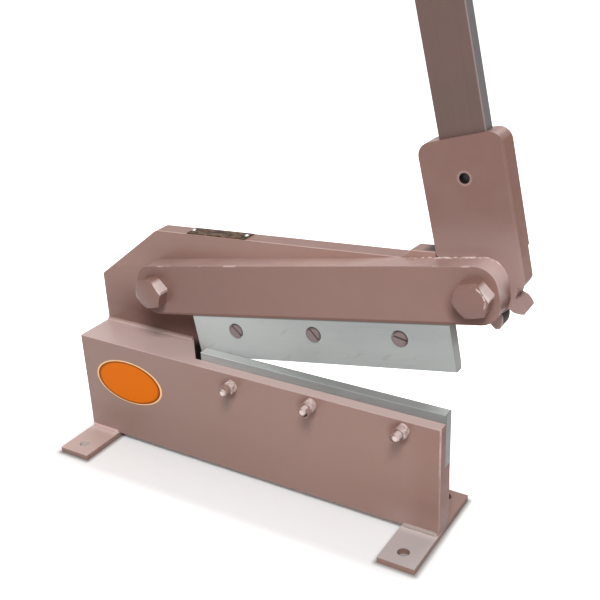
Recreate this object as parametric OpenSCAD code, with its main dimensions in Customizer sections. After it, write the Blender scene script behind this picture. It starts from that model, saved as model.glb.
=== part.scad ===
// Hand shearing machine with a geared lever, for cutting sheet and flat bar.
// The frame stands on two feet and holds the lower blade. The jaw carries the upper blade and
// swings about the pivot bolt. The lever ends in a pinion that rolls down a toothed sector cut
// in the end of the frame plate, and so draws the jaw down.
// X runs along the blades, Y runs from front to back, Z is up. The origin is on the floor, midway
// between the four foot holes. The sizes below are told from the bed plate's left end and front.

/* [Frame] */
// Length of the bed plate along the blades
base_length = 400; // [380:1:440]
// Height of the bed plate and the spacer above the feet
bed_height = 107.5; // [100:0.5:112]
// Thickness of the bed plate, which is the front of the shear plane
bed_thickness = 21.2; // [18:0.1:26]
// Depth from the shear plane to the frame plate
spacer_depth = 22.8; // [20:0.1:30]
// Thickness of the frame plate
frame_thickness = 18.5; // [14:0.5:24]
// Width of the frame plate's column, which is where the throat starts
column_width = 145; // [142:1:150]
// Height of the column's outer edge above the feet
shoulder_height = 160; // [150:1:170]
// Distance from the column's outer edge to the top corner
shoulder_run = 77; // [60:1:84]
// Height of the top corner above the feet
top_height = 218.6; // [210:0.2:222]
// Rise of the frame's top edge from its corner to the sector
top_rise = 17; // [10:1:20]

/* [Feet] */
// Width of a foot
foot_width = 35; // [30:1:45]
// Thickness of a foot
foot_thickness = 6; // [5:0.5:10]
// How far a foot reaches in front of the bed plate
foot_front = 50; // [44:1:60]
// How far a foot reaches behind the bed plate's front face
foot_back = 67.5; // [64:0.5:80]
// Diameter of the holding-down holes
foot_hole_d = 11; // [8:0.5:14]
// Distance between the two holes of a foot
foot_hole_pitch = 90; // [84:1:96]
// Leg of the fillet welds
weld_leg = 3.5; // [3:0.5:7]
// Leg of the long weld between the spacer's top and the frame plate
seam_leg = 3; // [3:0.5:6]

/* [Blades] */
// Length of the lower blade
lower_blade_length = 254; // [245:1:258]
// Thickness of the lower blade
lower_blade_thickness = 10.3; // [8:0.1:12]
// Height of the lower blade
lower_blade_height = 51.5; // [48:0.5:56]
// Height of the lower blade's cutting edge above the bed plate
edge_above_bed = 8.7; // [6:0.1:10]
// Length of the upper blade
upper_blade_length = 268.5; // [260:0.5:272]
// Thickness of the upper blade
upper_blade_thickness = 10; // [8:0.5:12]
// Height of the upper blade below the jaw's shoulder
upper_blade_height = 43; // [40:0.5:46]
// Height of the relief bevel along the upper blade's edge
relief_height = 6; // [3:0.5:10]
// Depth of that bevel
relief_depth = 1.5; // [0.5:0.1:3]
// Shank diameter of the blade screws
blade_screw_d = 8; // [6:0.5:8]
// Head diameter of the blade screws
blade_screw_head_d = 15.5; // [12:0.5:18]

/* [Jaw] */
// Distance from the pivot bolt to the pinion bolt
pin_distance = 334; // [328:1:338]
// Angle of the jaw above level when it is fully open
rest_angle = 10; // [8:0.5:11]
// Distance of the pivot bolt from the left end
pivot_x = 88; // [80:0.5:92]
// Height of the pivot bolt above the feet
pivot_height = 166; // [160:0.5:170]
// Height of the jaw's strap
strap_height = 50; // [48:1:54]
// Thickness of the jaw
jaw_thickness = 22.2; // [20:0.1:26]
// Overhang of the strap past the bolt centres
strap_overhang = 20; // [18:0.5:25]
// Corner radius of the strap's ends
strap_corner = 19; // [10:0.5:24]
// Height of the blade seat below the strap
seat_height = 32; // [28:1:36]
// Thickness of the rear link
link_thickness = 12; // [8:0.5:16]
// Height of the rear link
link_height = 40; // [36:1:40]

/* [Pinion and lever] */
// Teeth on a full pinion
pinion_teeth = 8; // [8:1:8]
// Teeth on a full circle of the sector's pitch
sector_teeth = 80; // [80:1:80]
// Angle of the lever left of upright when the jaw is open
lever_lean = 12; // [12:1:16]
// Width of the lever's socket left of the pinion's centre line
socket_left = 38.5; // [36:0.5:40]
// Width of the lever's socket right of the pinion's centre line
socket_right = 33; // [31:0.5:36]
// Height of the socket above the pinion's centre
socket_top = 122; // [110:1:150]
// Thickness of the socket where it holds the lever
socket_thickness = 21; // [20:0.5:26]
// Thickness of the socket's front wall
socket_wall = 4; // [3:0.5:6]
// Width of the lever bar
lever_width = 40; // [30:1:44]
// Thickness of the lever bar
lever_thickness = 12; // [8:0.5:12]
// Length of the lever bar
lever_length = 560; // [300:10:900]
// Core diameter of the tapped hole for the lever's set screw
set_hole_d = 8.5; // [6:0.5:10]

/* [Bolts] */
// Shank diameter of the two big bolts
bolt_d = 19; // [16:0.5:20]
// Width of the big bolts' heads across flats
bolt_flats = 28.6; // [26:0.1:30]
// Height of the big bolts' heads
bolt_head_height = 12.3; // [10:0.1:14]
// Outer diameter of the two sleeves
sleeve_d = 26; // [25:0.5:28]

/* [Plate] */
// Length of the name plate
name_plate_length = 67.5; // [50:0.5:80]
// Width of the name plate
name_plate_width = 16; // [10:0.5:16]
// Thickness of the name plate
name_plate_thickness = 0.8; // [0.5:0.1:1.5]

/* [Hidden] */

// Smoothness of bores and pins, and points in each corner arc
$fn = 72;
corner_points = 7;
// How far every cut runs past the face that it opens
overrun = 1;

// Gaps: between faces that slide past each other, round a turning shaft, and round a fixed one
side_gap = 0.3;
running_gap = 0.05;
fixed_gap = 0.1;

// Depths from the bed plate's front face
bed_web = bed_thickness - lower_blade_thickness;
jaw_front = bed_thickness + side_gap;
jaw_back = jaw_front + jaw_thickness;
blade_back = jaw_front + upper_blade_thickness;
frame_front = bed_thickness + spacer_depth;
frame_back = frame_front + frame_thickness;
link_front = frame_back + side_gap;
link_back = link_front + link_thickness;

// Heights above the floor
bed_top = foot_thickness + bed_height;
cutting_edge = bed_top + edge_above_bed;
rebate_bottom = cutting_edge - lower_blade_height;
pivot_z = foot_thickness + pivot_height;

// Spacer's slanted right end: how far it stays clear of the lower blade, and how far it slants
lower_blade_start = base_length - lower_blade_length;
spacer_clearance = 7;
spacer_slant = 27;
spacer_front_length = lower_blade_start - spacer_clearance;
spacer_back_length = spacer_front_length - spacer_slant;

// Throat: height of its roof at each end above the cutting edge, and its corner
throat_root_rise = 6;
throat_end_rise = 26;
throat_corner = 14;

// Corner radii of the frame plate
shoulder_corner = 4;
top_corner = 7;

// Feet: the holes stand midway along each foot
foot_hole_mid = 11;

// Blade screws: places of the first and last on each blade, drop below the edge or shoulder, the
// small shifts of the lower ones, and heads
lower_first_screw = 41.5;
lower_last_screw = 35.1;
lower_screw_pitch = (lower_blade_length - lower_first_screw - lower_last_screw) / 2;
lower_screw_drops = [20.9, 17.5, 17.7];
lower_screw_shifts = [0, -2.3, 0];
upper_first_screw = 48;
upper_last_screw = 48.5;
upper_screw_pitch = (upper_blade_length - upper_first_screw - upper_last_screw) / 2;
upper_screw_drop = 15;
// Angles of the upper screws' slots to the strap
slot_turns = [-50, -55, -20];
screw_head_cone = 4;
screw_head_recess = 0.8;
screw_slot_width = 1.8;
screw_slot_depth = 1.8;
stud_length = 15;
washer_d = 13;
washer_thickness = 1.6;
nut_flats = 12;
nut_height = 6.5;
nut_angle = 25;

// Upper blade: place of its inner end along the jaw, and the seat's ends and foot
upper_blade_start = 40.5;
seat_inset = 3;
seat_outset = 12;
seat_corner = 6;

// Big bolts: tip, nut and washer
bolt_tip = 4;
big_nut_height = 16;
big_washer_d = 37;
big_washer_thickness = 3;
// Heads and nuts: radius of the face and of the chamfer's end, as shares, and turn of the corners
head_face_share = 0.95;
head_end_share = 1.05;
head_angle = -5.5;

// Name plate: place of its left end along the top edge, and its rivets
name_plate_start = 38;
rivet_d = 3.4;
rivet_height = 1.6;
rivet_inset = 3;

// Gear: the teeth follow an involute. The pinion's teeth are long and the sector's are short,
// which keeps a pinion of few teeth clear of the sector.
gear_module = 2 * pin_distance / (pinion_teeth + sector_teeth);
pinion_pitch_r = gear_module * pinion_teeth / 2;
sector_pitch_r = gear_module * sector_teeth / 2;
pressure_angle = 20;
backlash = 0.5;
pinion_tip_share = 1;
pinion_root_share = 0.62;
sector_tip_share = 0.44;
sector_root_share = 1.16;
flank_points = 6;
// Angle of the nearest pinion tooth below the line of centres when the jaw is open
tooth_lag = 8;
pinion_tip_r = pinion_pitch_r + gear_module * pinion_tip_share;
pinion_root_r = pinion_pitch_r - gear_module * pinion_root_share;
sector_tip_r = sector_pitch_r + gear_module * sector_tip_share;
sector_root_r = sector_pitch_r - gear_module * sector_root_share;
pinion_pitch_angle = 360 / pinion_teeth;
sector_pitch_angle = 360 / sector_teeth;
// The first free tooth in the socket's own frame, and the last space of the sector
first_tooth_angle = 180 + rest_angle + tooth_lag - lever_lean;
top_space_angle = rest_angle - tooth_lag * pinion_teeth / sector_teeth + sector_pitch_angle;
free_teeth = 5;
cut_teeth = 2;
sector_end_share = 3.91;
sector_start_share = 0.27;
sector_end_angle = top_space_angle - sector_end_share * sector_pitch_angle;
sector_start_angle = top_space_angle + sector_start_share * sector_pitch_angle;

// Horn above the sector, which stops the socket: its width and height on the socket's line, the
// run of its slope and the angle of its top
horn_gap = 0.6;
horn_width = 21.5;
horn_level = 30;
horn_run = 10;
horn_rise = 5;

// Socket: rise of its top from left to right, its corners, its lower ends and its bore depth
socket_top_rise = 4;
socket_top_corner = 11;
socket_low_corner = 5;
socket_heel_left = 27;
socket_heel_right = 1;
socket_left_notch = [-29.5, 24];
socket_right_notch = [30, -2.8];
pad_bottom = 27;
slot_gap = 0.15;
lever_seat = 32;
set_hole_height = 89.5;

pinion_x = pivot_x + pin_distance * cos(rest_angle);
pinion_z = pivot_z + pin_distance * sin(rest_angle);
frame_top = foot_thickness + top_height;
horn_end = from_lever([-socket_left - horn_gap, horn_level]);
horn_start = horn_end - polar(horn_width, horn_rise);
top_edge_end = horn_start.x - horn_run;
top_edge_angle = atan2(top_rise, top_edge_end - shoulder_run);

paint = [0.58, 0.46, 0.43];
steel = [0.64, 0.66, 0.65];
dark_steel = [0.42, 0.36, 0.34];
brass = [0.45, 0.33, 0.16];

function unit(v) = v / norm(v);
function polar(r, a) = r * [cos(a), sin(a)];

// Points of the arc that rounds the corner at p, between the neighbours a and b
function corner_arc(a, p, b, r) =
    let (u = unit(a - p), v = unit(b - p))
    let (half = acos(u * v) / 2, centre = p + unit(u + v) * r / sin(half))
    let (from = p + u * r / tan(half) - centre, to = p + v * r / tan(half) - centre)
    let (start = atan2(from.y, from.x), turn = atan2(cross(from, to), from * to))
    [for (k = [0:corner_points]) centre + polar(r, start + turn * k / corner_points)];

// Outline with each corner rounded by its own radius; a radius of 0 leaves it sharp
function rounded(points, radii) =
    [for (i = [0:len(points) - 1])
        let (n = len(points), a = points[(i + n - 1) % n], b = points[(i + 1) % n])
        each (radii[i] > 0 ? corner_arc(a, points[i], b, radii[i]) : [points[i]])];

// Involute function in degrees, and half the angle of a tooth at radius r
function involute(a) = tan(a) * 180 / PI - a;
function tooth_half_angle(r, pitch_r) =
    let (base_r = pitch_r * cos(pressure_angle))
    let (at_pitch = ((PI * gear_module - backlash) / 4 / pitch_r) * 180 / PI)
    at_pitch + involute(pressure_angle) - involute(acos(min(1, base_r / max(r, base_r))));

// Points of one flank, from r0 to r1, on the side given by 1 or -1
function flank(mid, side, r0, r1, pitch_r) =
    [for (k = [0:flank_points])
        let (r = r0 + (r1 - r0) * k / flank_points)
        polar(r, mid + side * tooth_half_angle(r, pitch_r))];

// Place of the whole machine, from the left end and front face of its bed plate
module centred() {
    translate([-base_length / 2, -foot_hole_mid, 0]) children();
}

module cylinder_y(r, y0, y1) {
    translate([0, y1, 0]) rotate([90, 0, 0]) cylinder(r = r, h = y1 - y0);
}

module cone_y(r0, r1, y0, y1) {
    translate([0, y1, 0]) rotate([90, 0, 0]) cylinder(r1 = r1, r2 = r0, h = y1 - y0);
}

// Plate that stands on edge: an outline in X and Z, from depth y0 to depth y1
module plate(y0, y1) {
    translate([0, y1, 0]) rotate([90, 0, 0]) linear_extrude(y1 - y0) children();
}

// Place of the jaw, with X along the strap from the pivot bolt
module at_jaw() {
    translate([pivot_x, 0, pivot_z]) rotate([0, -rest_angle, 0]) children();
}

// Place of the lever, with Z along the lever from the pinion bolt
module at_lever() {
    translate([pinion_x, 0, pinion_z]) rotate([0, -lever_lean, 0]) children();
}

// Hexagon along Y with the corners of its front face turned off at 30 degrees, turned by an angle
module hexagon_y(flats, y0, y1, turn) {
    corner_r = flats / 2 / cos(30);
    face_r = head_face_share * flats / 2;
    end_r = head_end_share * corner_r;
    chamfer_end = y0 + (end_r - face_r) * tan(30);
    intersection() {
        translate([0, y1, 0]) rotate([90, turn, 0])
            cylinder(r = corner_r, h = y1 - y0, $fn = 6);
        union() {
            cone_y(face_r, end_r, y0, chamfer_end);
            cylinder_y(end_r, chamfer_end, y1);
        }
    }
}

module bed_plate() {
    color(paint) centred() difference() {
        translate([0, 0, foot_thickness]) linear_extrude(bed_height)
            square([base_length, bed_thickness]);
        translate([0, 0, rebate_bottom]) linear_extrude(bed_top - rebate_bottom + overrun)
            polygon([[spacer_front_length, bed_web], [base_length + overrun, bed_web],
                [base_length + overrun, bed_thickness + overrun],
                [spacer_end(bed_thickness + overrun), bed_thickness + overrun]]);
        lower_screw_places() cylinder_y(blade_screw_d / 2 + fixed_gap, -overrun, bed_web + overrun);
    }
}

// Length of the spacer at depth y, along its slanted end
function spacer_end(y) = spacer_back_length
    + (spacer_front_length - spacer_back_length) * (frame_front - y) / (frame_front - bed_web);

module spacer_block() {
    color(paint) centred() translate([0, 0, foot_thickness]) linear_extrude(bed_height)
        polygon([[0, bed_thickness], [spacer_end(bed_thickness), bed_thickness],
            [spacer_back_length, frame_front], [0, frame_front]]);
}

// Point of the frame at radius r and angle a about the pivot bolt
function about_pivot(r, a) = [pivot_x, pivot_z] + polar(r, a);
// Point of the frame from a point in the lever's own frame
function from_lever(p) = [pinion_x, pinion_z]
    + [p.x * cos(lever_lean) - p.y * sin(lever_lean), p.x * sin(lever_lean) + p.y * cos(lever_lean)];

function sector_points() =
    [for (i = [0:cut_teeth - 1])
        let (mid = top_space_angle - (i + 0.5) * sector_pitch_angle)
        each concat(
            [for (p = flank(mid, 1, sector_root_r, sector_tip_r, sector_pitch_r)) p + [pivot_x, pivot_z]],
            [for (k = [flank_points:-1:0])
                let (p = flank(mid, -1, sector_root_r, sector_tip_r, sector_pitch_r)[k])
                p + [pivot_x, pivot_z]])];

// Outline of the frame plate: column, throat's roof, sector, horn, top edge and shoulder
module frame_outline() {
    sector_end = about_pivot(sector_root_r, sector_end_angle);
    before = [
        [0, foot_thickness], [column_width, foot_thickness],
        [column_width, cutting_edge + throat_root_rise],
        [sector_end.x, cutting_edge + throat_end_rise], sector_end];
    teeth = reversed(sector_points());
    after = [
        about_pivot(sector_root_r, sector_start_angle), horn_end, horn_start,
        [top_edge_end, frame_top + top_rise],
        [shoulder_run, frame_top], [0, foot_thickness + shoulder_height]];
    polygon(rounded(concat(before, teeth, after), concat([0, 0, throat_corner, 0, 0],
        [for (p = teeth) 0], [0, 0, 0, 0, top_corner, shoulder_corner])));
}

function reversed(list) = [for (i = [len(list) - 1:-1:0]) list[i]];

module frame_plate() {
    color(paint) centred() difference() {
        plate(frame_front, frame_back) frame_outline();
        translate([pivot_x, 0, pivot_z])
            cylinder_y(sleeve_d / 2 + running_gap, frame_front - overrun, frame_back + overrun);
    }
}

module foot(x0) {
    color(paint) centred() difference() {
        translate([x0, -foot_front, 0]) cube([foot_width, foot_front + foot_back, foot_thickness]);
        for (side = [-1, 1])
            translate([x0 + foot_width / 2, foot_hole_mid + side * foot_hole_pitch / 2, -overrun])
                cylinder(d = foot_hole_d, h = foot_thickness + 2 * overrun);
    }
}

module left_foot() {
    foot(0);
}

module right_foot() {
    foot(base_length - foot_width);
}

// Fillet weld along X, in the corner between a level face at height z and an upright face
module weld(x0, x1, y, z, side, leg) {
    translate([x0, y, z]) rotate([90, 0, 90])
        linear_extrude(x1 - x0) polygon([[0, 0], [side * leg, 0], [0, leg]]);
}

module foot_weld(x0, y, side) {
    weld(x0, x0 + foot_width, y, foot_thickness, side, weld_leg);
}

module foot_welds() {
    color(paint) centred() {
        for (x0 = [0, base_length - foot_width]) foot_weld(x0, 0, -1);
        foot_weld(0, frame_back, 1);
        foot_weld(base_length - foot_width, bed_thickness, 1);
    }
}

module plate_weld() {
    color(paint) centred() weld(0, spacer_back_length, frame_front, bed_top, -1, seam_leg);
}

module lower_screw_places() {
    for (i = [0:2])
        translate([lower_blade_start + lower_first_screw + i * lower_screw_pitch
            + lower_screw_shifts[i], 0, cutting_edge - lower_screw_drops[i]]) children();
}

// Hole for a countersunk screw, whose head lies at depth y_face; dir points into the piece
module screw_hole(y_face, y_end, dir) {
    r = blade_screw_d / 2 + fixed_gap;
    small_r = blade_screw_d / 2;
    cone_r = blade_screw_head_d / 2;
    head_r = cone_r + fixed_gap;
    flat_end = y_face + dir * screw_head_recess;
    cylinder_y(r, min(y_face, y_end), max(y_face, y_end));
    cylinder_y(head_r, min(y_face - dir * overrun, flat_end), max(y_face - dir * overrun, flat_end));
    if (dir > 0) cone_y(cone_r, small_r, flat_end, flat_end + screw_head_cone);
    if (dir < 0) cone_y(small_r, cone_r, flat_end - screw_head_cone, flat_end);
}

// Countersunk slotted screw in that hole, with its tip at y_end
module screw(y_face, y_end, dir) {
    r = blade_screw_d / 2;
    head_r = blade_screw_head_d / 2;
    top = y_face + dir * screw_head_recess;
    difference() {
        union() {
            cylinder_y(r, min(top, y_end), max(top, y_end));
            if (dir > 0) cone_y(head_r, r, top, top + screw_head_cone);
            if (dir < 0) cone_y(r, head_r, top - screw_head_cone, top);
        }
        translate([-head_r - overrun, min(top - dir * overrun, top + dir * screw_slot_depth),
            -screw_slot_width / 2])
            cube([2 * (head_r + overrun), screw_slot_depth + overrun, screw_slot_width]);
    }
}

module lower_blade() {
    color(steel) centred() difference() {
        translate([lower_blade_start, bed_web, rebate_bottom])
            cube([lower_blade_length, lower_blade_thickness, lower_blade_height]);
        lower_screw_places() screw_hole(bed_thickness, bed_web - overrun, -1);
    }
}

module lower_blade_screws() {
    color(paint) centred() lower_screw_places() screw(bed_thickness, -stud_length, -1);
}

module lower_blade_washers() {
    color(paint) centred() lower_screw_places() difference() {
        cylinder_y(washer_d / 2, -washer_thickness, 0);
        cylinder_y(blade_screw_d / 2 + fixed_gap, -washer_thickness - overrun, overrun);
    }
}

module lower_blade_nuts() {
    color(paint) centred() lower_screw_places() difference() {
        hexagon_y(nut_flats, -washer_thickness - nut_height, -washer_thickness, nut_angle);
        cylinder_y(blade_screw_d / 2, -washer_thickness - nut_height - overrun, overrun);
    }
}

// Place on the frame's top edge, with X along the edge from the top corner
module at_top_edge() {
    translate([shoulder_run, frame_front + frame_thickness / 2, frame_top])
        rotate([0, -top_edge_angle, 0]) children();
}

module name_plate() {
    color(brass) centred() at_top_edge()
        translate([name_plate_start, -name_plate_width / 2, 0])
            cube([name_plate_length, name_plate_width, name_plate_thickness]);
}

module name_plate_rivets() {
    color(steel) centred() at_top_edge()
        for (x = [rivet_inset, name_plate_length - rivet_inset])
            translate([name_plate_start + x, 0, name_plate_thickness])
                cylinder(d = rivet_d, h = rivet_height);
}

// Strap with rounded ends, from one bolt to the other
module strap_outline(height, overhang, corner) {
    polygon(rounded(
        [[-overhang, -height / 2], [pin_distance + overhang, -height / 2],
            [pin_distance + overhang, height / 2], [-overhang, height / 2]],
        [corner, corner, corner, corner]));
}

module both_bolts() {
    for (x = [0, pin_distance]) translate([x, 0, 0]) children();
}

module upper_screw_places() {
    for (i = [0:2])
        translate([upper_blade_start + upper_first_screw + i * upper_screw_pitch, 0,
            -strap_height / 2 - upper_screw_drop]) rotate([0, -slot_turns[i], 0]) children();
}

module jaw() {
    seat_start = upper_blade_start + seat_inset;
    seat_end = upper_blade_start + upper_blade_length - seat_outset;
    seat_foot = -strap_height / 2 - seat_height;
    color(paint) centred() at_jaw() difference() {
        union() {
            plate(jaw_front, jaw_back) strap_outline(strap_height, strap_overhang, strap_corner);
            plate(blade_back, jaw_back) polygon(rounded(
                [[seat_start, seat_foot], [seat_end, seat_foot], [seat_end, 0], [seat_start, 0]],
                [seat_corner, seat_corner, 0, 0]));
        }
        both_bolts() cylinder_y(bolt_d / 2 + running_gap, jaw_front - overrun, jaw_back + overrun);
        upper_screw_places()
            cylinder_y(blade_screw_d / 2 + fixed_gap, blade_back - overrun, jaw_back + overrun);
    }
}

module upper_blade() {
    blade_foot = -strap_height / 2 - upper_blade_height;
    color(steel) centred() at_jaw() difference() {
        translate([upper_blade_start, jaw_front, blade_foot])
            cube([upper_blade_length, upper_blade_thickness, upper_blade_height]);
        upper_screw_places() screw_hole(jaw_front, blade_back + overrun, 1);
        translate([upper_blade_start - overrun, blade_back, blade_foot]) rotate([90, 0, 90])
            linear_extrude(upper_blade_length + 2 * overrun)
                polygon([[overrun, -overrun], [overrun, relief_height], [0, relief_height],
                    [-relief_depth, 0], [-relief_depth, -overrun]]);
    }
}

module upper_blade_screws() {
    color(paint) centred() at_jaw() upper_screw_places() screw(jaw_front, jaw_back, 1);
}

module rear_link() {
    color(paint) centred() at_jaw() difference() {
        plate(link_front, link_back) strap_outline(link_height, strap_overhang, strap_corner);
        both_bolts() cylinder_y(bolt_d / 2 + running_gap, link_front - overrun, link_back + overrun);
    }
}

// One set of bolt, sleeve, washer and nut, for each of the two pins of the jaw
module big_bolt() {
    union() {
        hexagon_y(bolt_flats, jaw_front - bolt_head_height, jaw_front, head_angle);
        cylinder_y(bolt_d / 2, jaw_front - fixed_gap,
            link_back + big_washer_thickness + big_nut_height + bolt_tip);
    }
}

module ring_y(outer_r, inner_r, y0, y1) {
    difference() {
        cylinder_y(outer_r, y0, y1);
        cylinder_y(inner_r, y0 - overrun, y1 + overrun);
    }
}

module sleeve() {
    ring_y(sleeve_d / 2, bolt_d / 2 + running_gap, jaw_back, link_front);
}

module big_washer() {
    ring_y(big_washer_d / 2, bolt_d / 2 + running_gap, link_back, link_back + big_washer_thickness);
}

module big_nut() {
    nut_front = link_back + big_washer_thickness;
    nut_back = nut_front + big_nut_height;
    difference() {
        mirror([0, 1, 0]) hexagon_y(bolt_flats, -nut_back, -nut_front, head_angle);
        cylinder_y(bolt_d / 2, nut_front - overrun, nut_back + overrun);
    }
}

module at_pinion() {
    at_jaw() translate([pin_distance, 0, 0]) children();
}

module pivot_bolt() {
    color(paint) centred() at_jaw() big_bolt();
}

module pivot_sleeve() {
    color(steel) centred() at_jaw() sleeve();
}

module pivot_washer() {
    color(steel) centred() at_jaw() big_washer();
}

module pivot_nut() {
    color(paint) centred() at_jaw() big_nut();
}

module pinion_bolt() {
    color(paint) centred() at_pinion() big_bolt();
}

module pinion_sleeve() {
    color(steel) centred() at_pinion() sleeve();
}

module pinion_washer() {
    color(steel) centred() at_pinion() big_washer();
}

module pinion_nut() {
    color(paint) centred() at_pinion() big_nut();
}

module pinion_tooth(mid) {
    polygon(concat([[0, 0]],
        flank(mid, -1, pinion_root_r, pinion_tip_r, pinion_pitch_r),
        reversed(flank(mid, 1, pinion_root_r, pinion_tip_r, pinion_pitch_r))));
}

// Front view of the socket alone, in the lever's own frame
module socket_outline() {
    polygon(rounded(
        [socket_right_notch, [socket_right, socket_heel_right],
            [socket_right, socket_top + socket_top_rise / 2],
            [-socket_left, socket_top - socket_top_rise / 2], [-socket_left, socket_heel_left],
            socket_left_notch, [0, 0]],
        [0, socket_low_corner, socket_top_corner, socket_top_corner, socket_low_corner / 2, 0, 0]));
}

module lever_socket() {
    slot_depth = socket_top + socket_top_rise + overrun - lever_seat;
    color(paint) centred() at_lever() difference() {
        union() {
            plate(frame_front, frame_back) {
                circle(r = pinion_root_r);
                for (i = [-1:free_teeth - 2]) pinion_tooth(first_tooth_angle + i * pinion_pitch_angle);
                socket_outline();
            }
            plate(frame_back - overrun, frame_front + socket_thickness) intersection() {
                socket_outline();
                translate([-socket_left, pad_bottom])
                    square([socket_left + socket_right, socket_top + socket_top_rise]);
            }
        }
        cylinder_y(sleeve_d / 2 + running_gap, frame_front - overrun, frame_back + overrun);
        translate([-lever_width / 2 - slot_gap, frame_front + socket_wall - slot_gap, lever_seat])
            cube([lever_width + 2 * slot_gap, lever_thickness + 2 * slot_gap, slot_depth]);
        translate([(socket_right - socket_left) / 2, 0, set_hole_height])
            cylinder_y(set_hole_d / 2, frame_front - overrun, frame_front + socket_wall);
    }
}

module lever_bar() {
    color(dark_steel) centred() at_lever()
        translate([-lever_width / 2, frame_front + socket_wall, lever_seat])
            cube([lever_width, lever_thickness, lever_length]);
}

bed_plate();
spacer_block();
frame_plate();
left_foot();
right_foot();
foot_welds();
plate_weld();
lower_blade();
lower_blade_screws();
lower_blade_washers();
lower_blade_nuts();
name_plate();
name_plate_rivets();
jaw();
upper_blade();
upper_blade_screws();
rear_link();
pivot_bolt();
pivot_sleeve();
pivot_washer();
pivot_nut();
pinion_bolt();
pinion_sleeve();
pinion_washer();
pinion_nut();
lever_socket();
lever_bar();
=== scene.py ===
"""Dresses the geared hand shear: rounded edges, weld beads, threads, finishes, light and camera."""

from __future__ import annotations

import logging
import math
from dataclasses import dataclass, field
from enum import Enum
from functools import reduce
from typing import Callable, ClassVar, Sequence, Union

import bmesh
import bpy
from mathutils import Matrix, Vector

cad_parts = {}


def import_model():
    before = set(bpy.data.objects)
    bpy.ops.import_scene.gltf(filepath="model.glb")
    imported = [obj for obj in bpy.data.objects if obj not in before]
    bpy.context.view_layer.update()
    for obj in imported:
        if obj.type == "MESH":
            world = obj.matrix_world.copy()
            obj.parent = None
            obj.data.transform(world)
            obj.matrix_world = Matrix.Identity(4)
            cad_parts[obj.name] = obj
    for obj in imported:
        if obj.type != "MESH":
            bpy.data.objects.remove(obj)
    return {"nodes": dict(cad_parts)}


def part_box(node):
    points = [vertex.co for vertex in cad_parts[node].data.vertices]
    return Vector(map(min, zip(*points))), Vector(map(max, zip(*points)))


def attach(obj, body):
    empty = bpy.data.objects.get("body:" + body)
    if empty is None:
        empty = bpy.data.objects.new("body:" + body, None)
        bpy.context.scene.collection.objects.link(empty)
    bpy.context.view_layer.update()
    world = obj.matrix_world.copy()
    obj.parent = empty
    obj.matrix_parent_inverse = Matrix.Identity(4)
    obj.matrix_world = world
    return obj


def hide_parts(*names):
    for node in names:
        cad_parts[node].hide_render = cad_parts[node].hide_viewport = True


LOG = logging.getLogger("hand_shear")
MM = 0.001
WHITE = (1.0, 1.0, 1.0, 1.0)

# Places in the machine's axes, in metres.
PIVOT = Vector((-112.0, 0.0, 172.0)) * MM
PINION = Vector((216.926, 0.0, 229.998)) * MM
STUDS = ((-0.0125, 0.1006), (0.0740, 0.1040), (0.1649, 0.1038))
LEFT_FRONT_HOLE = (-0.1825, -0.045)

# Places in the jaw's axes and, for the set screw, in the lever's.
PINION_ALONG_JAW = 0.334
BLADE_SCREWS = (0.0885, 0.1745, 0.2605)
BLADE_SCREW_HEIGHT = -0.040
SET_SCREW = (-0.00275, 0.0895)

# Spans in which a mask goes over a face of the machine.
BED_TOP = (0.1126, 0.1134)
FOOT_TOP = (0.0050, 0.0058)
BEHIND_BED_FRONT = (-0.011, 0.011)
BEHIND_BEADS = (-0.010, 0.010)
STRAP_FRONT = (0.0108, 0.0116)
COLUMN_FRONT = (0.0336, 0.0344)
SOCKET_FRONT = (0.0332, 0.0345)
GAP_FLOOR = (0.066, 0.094)

Number = Union[float, "Value"]
Width = Callable[["EdgeFacts"], float]
Mask = Callable[["Graph"], "Value"]


@dataclass(frozen=True)
class Axes:
    """Axes along and across a part that leans about its hinge."""

    hinge: Vector
    lean: float

    def of_point(self, point: Vector) -> tuple[float, float]:
        """Finds a point's place on the part.

        Args:
            point: The point.

        Returns:
            Its distance from the hinge along the turned X and along the turned Z.
        """
        gap = point - self.hinge
        cos, sin = math.cos(self.lean), math.sin(self.lean)
        return gap.x * cos + gap.z * sin, gap.z * cos - gap.x * sin

    def of_shader(self, graph: "Graph") -> tuple["Value", "Value", "Value"]:
        """Finds the place on the part that is being shaded.

        Args:
            graph: The finish's node tree.

        Returns:
            Distance from the hinge along the turned X, depth, and distance from the hinge along the turned Z.
        """
        across, depth, up = graph.parts(graph.stretched((1.0, 1.0, 1.0), self.lean))
        cos, sin = math.cos(self.lean), math.sin(self.lean)
        right = across - (self.hinge.x * cos + self.hinge.z * sin)
        high = up - (self.hinge.z * cos - self.hinge.x * sin)
        return right, depth, high


JAW = Axes(PIVOT, math.radians(10.0))
LEVER = Axes(PINION, math.radians(12.0))


def srgb(red: float, green: float, blue: float) -> tuple[float, float, float, float]:
    """Turns a screen colour of 0 to 255 into the linear colour of a shader.

    Args:
        red: Red as seen on a screen.
        green: Green as seen on a screen.
        blue: Blue as seen on a screen.

    Returns:
        The linear colour with full alpha.
    """
    full, toe, slope, offset, power = 255.0, 0.04045, 12.92, 0.055, 2.4

    def linear(part: float) -> float:
        """Linear value of one part."""
        share = part / full
        return share / slope if share <= toe else ((share + offset) / (1 + offset)) ** power

    return (linear(red), linear(green), linear(blue), 1.0)


def operator(operation: str, swapped: bool = False) -> Callable[["Value", Number], "Value"]:
    """Makes a method of Value that adds one Math node.

    Args:
        operation: The node's operation.
        swapped: Whether the other number comes first.

    Returns:
        The method.
    """
    def method(self: "Value", other: Number) -> "Value":
        """Adds the node and returns its result."""
        first, second = (other, self) if swapped else (self, other)
        return Value(self.nodes, self.nodes.add("ShaderNodeMath", {"operation": operation}, {0: first, 1: second}))

    return method


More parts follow.
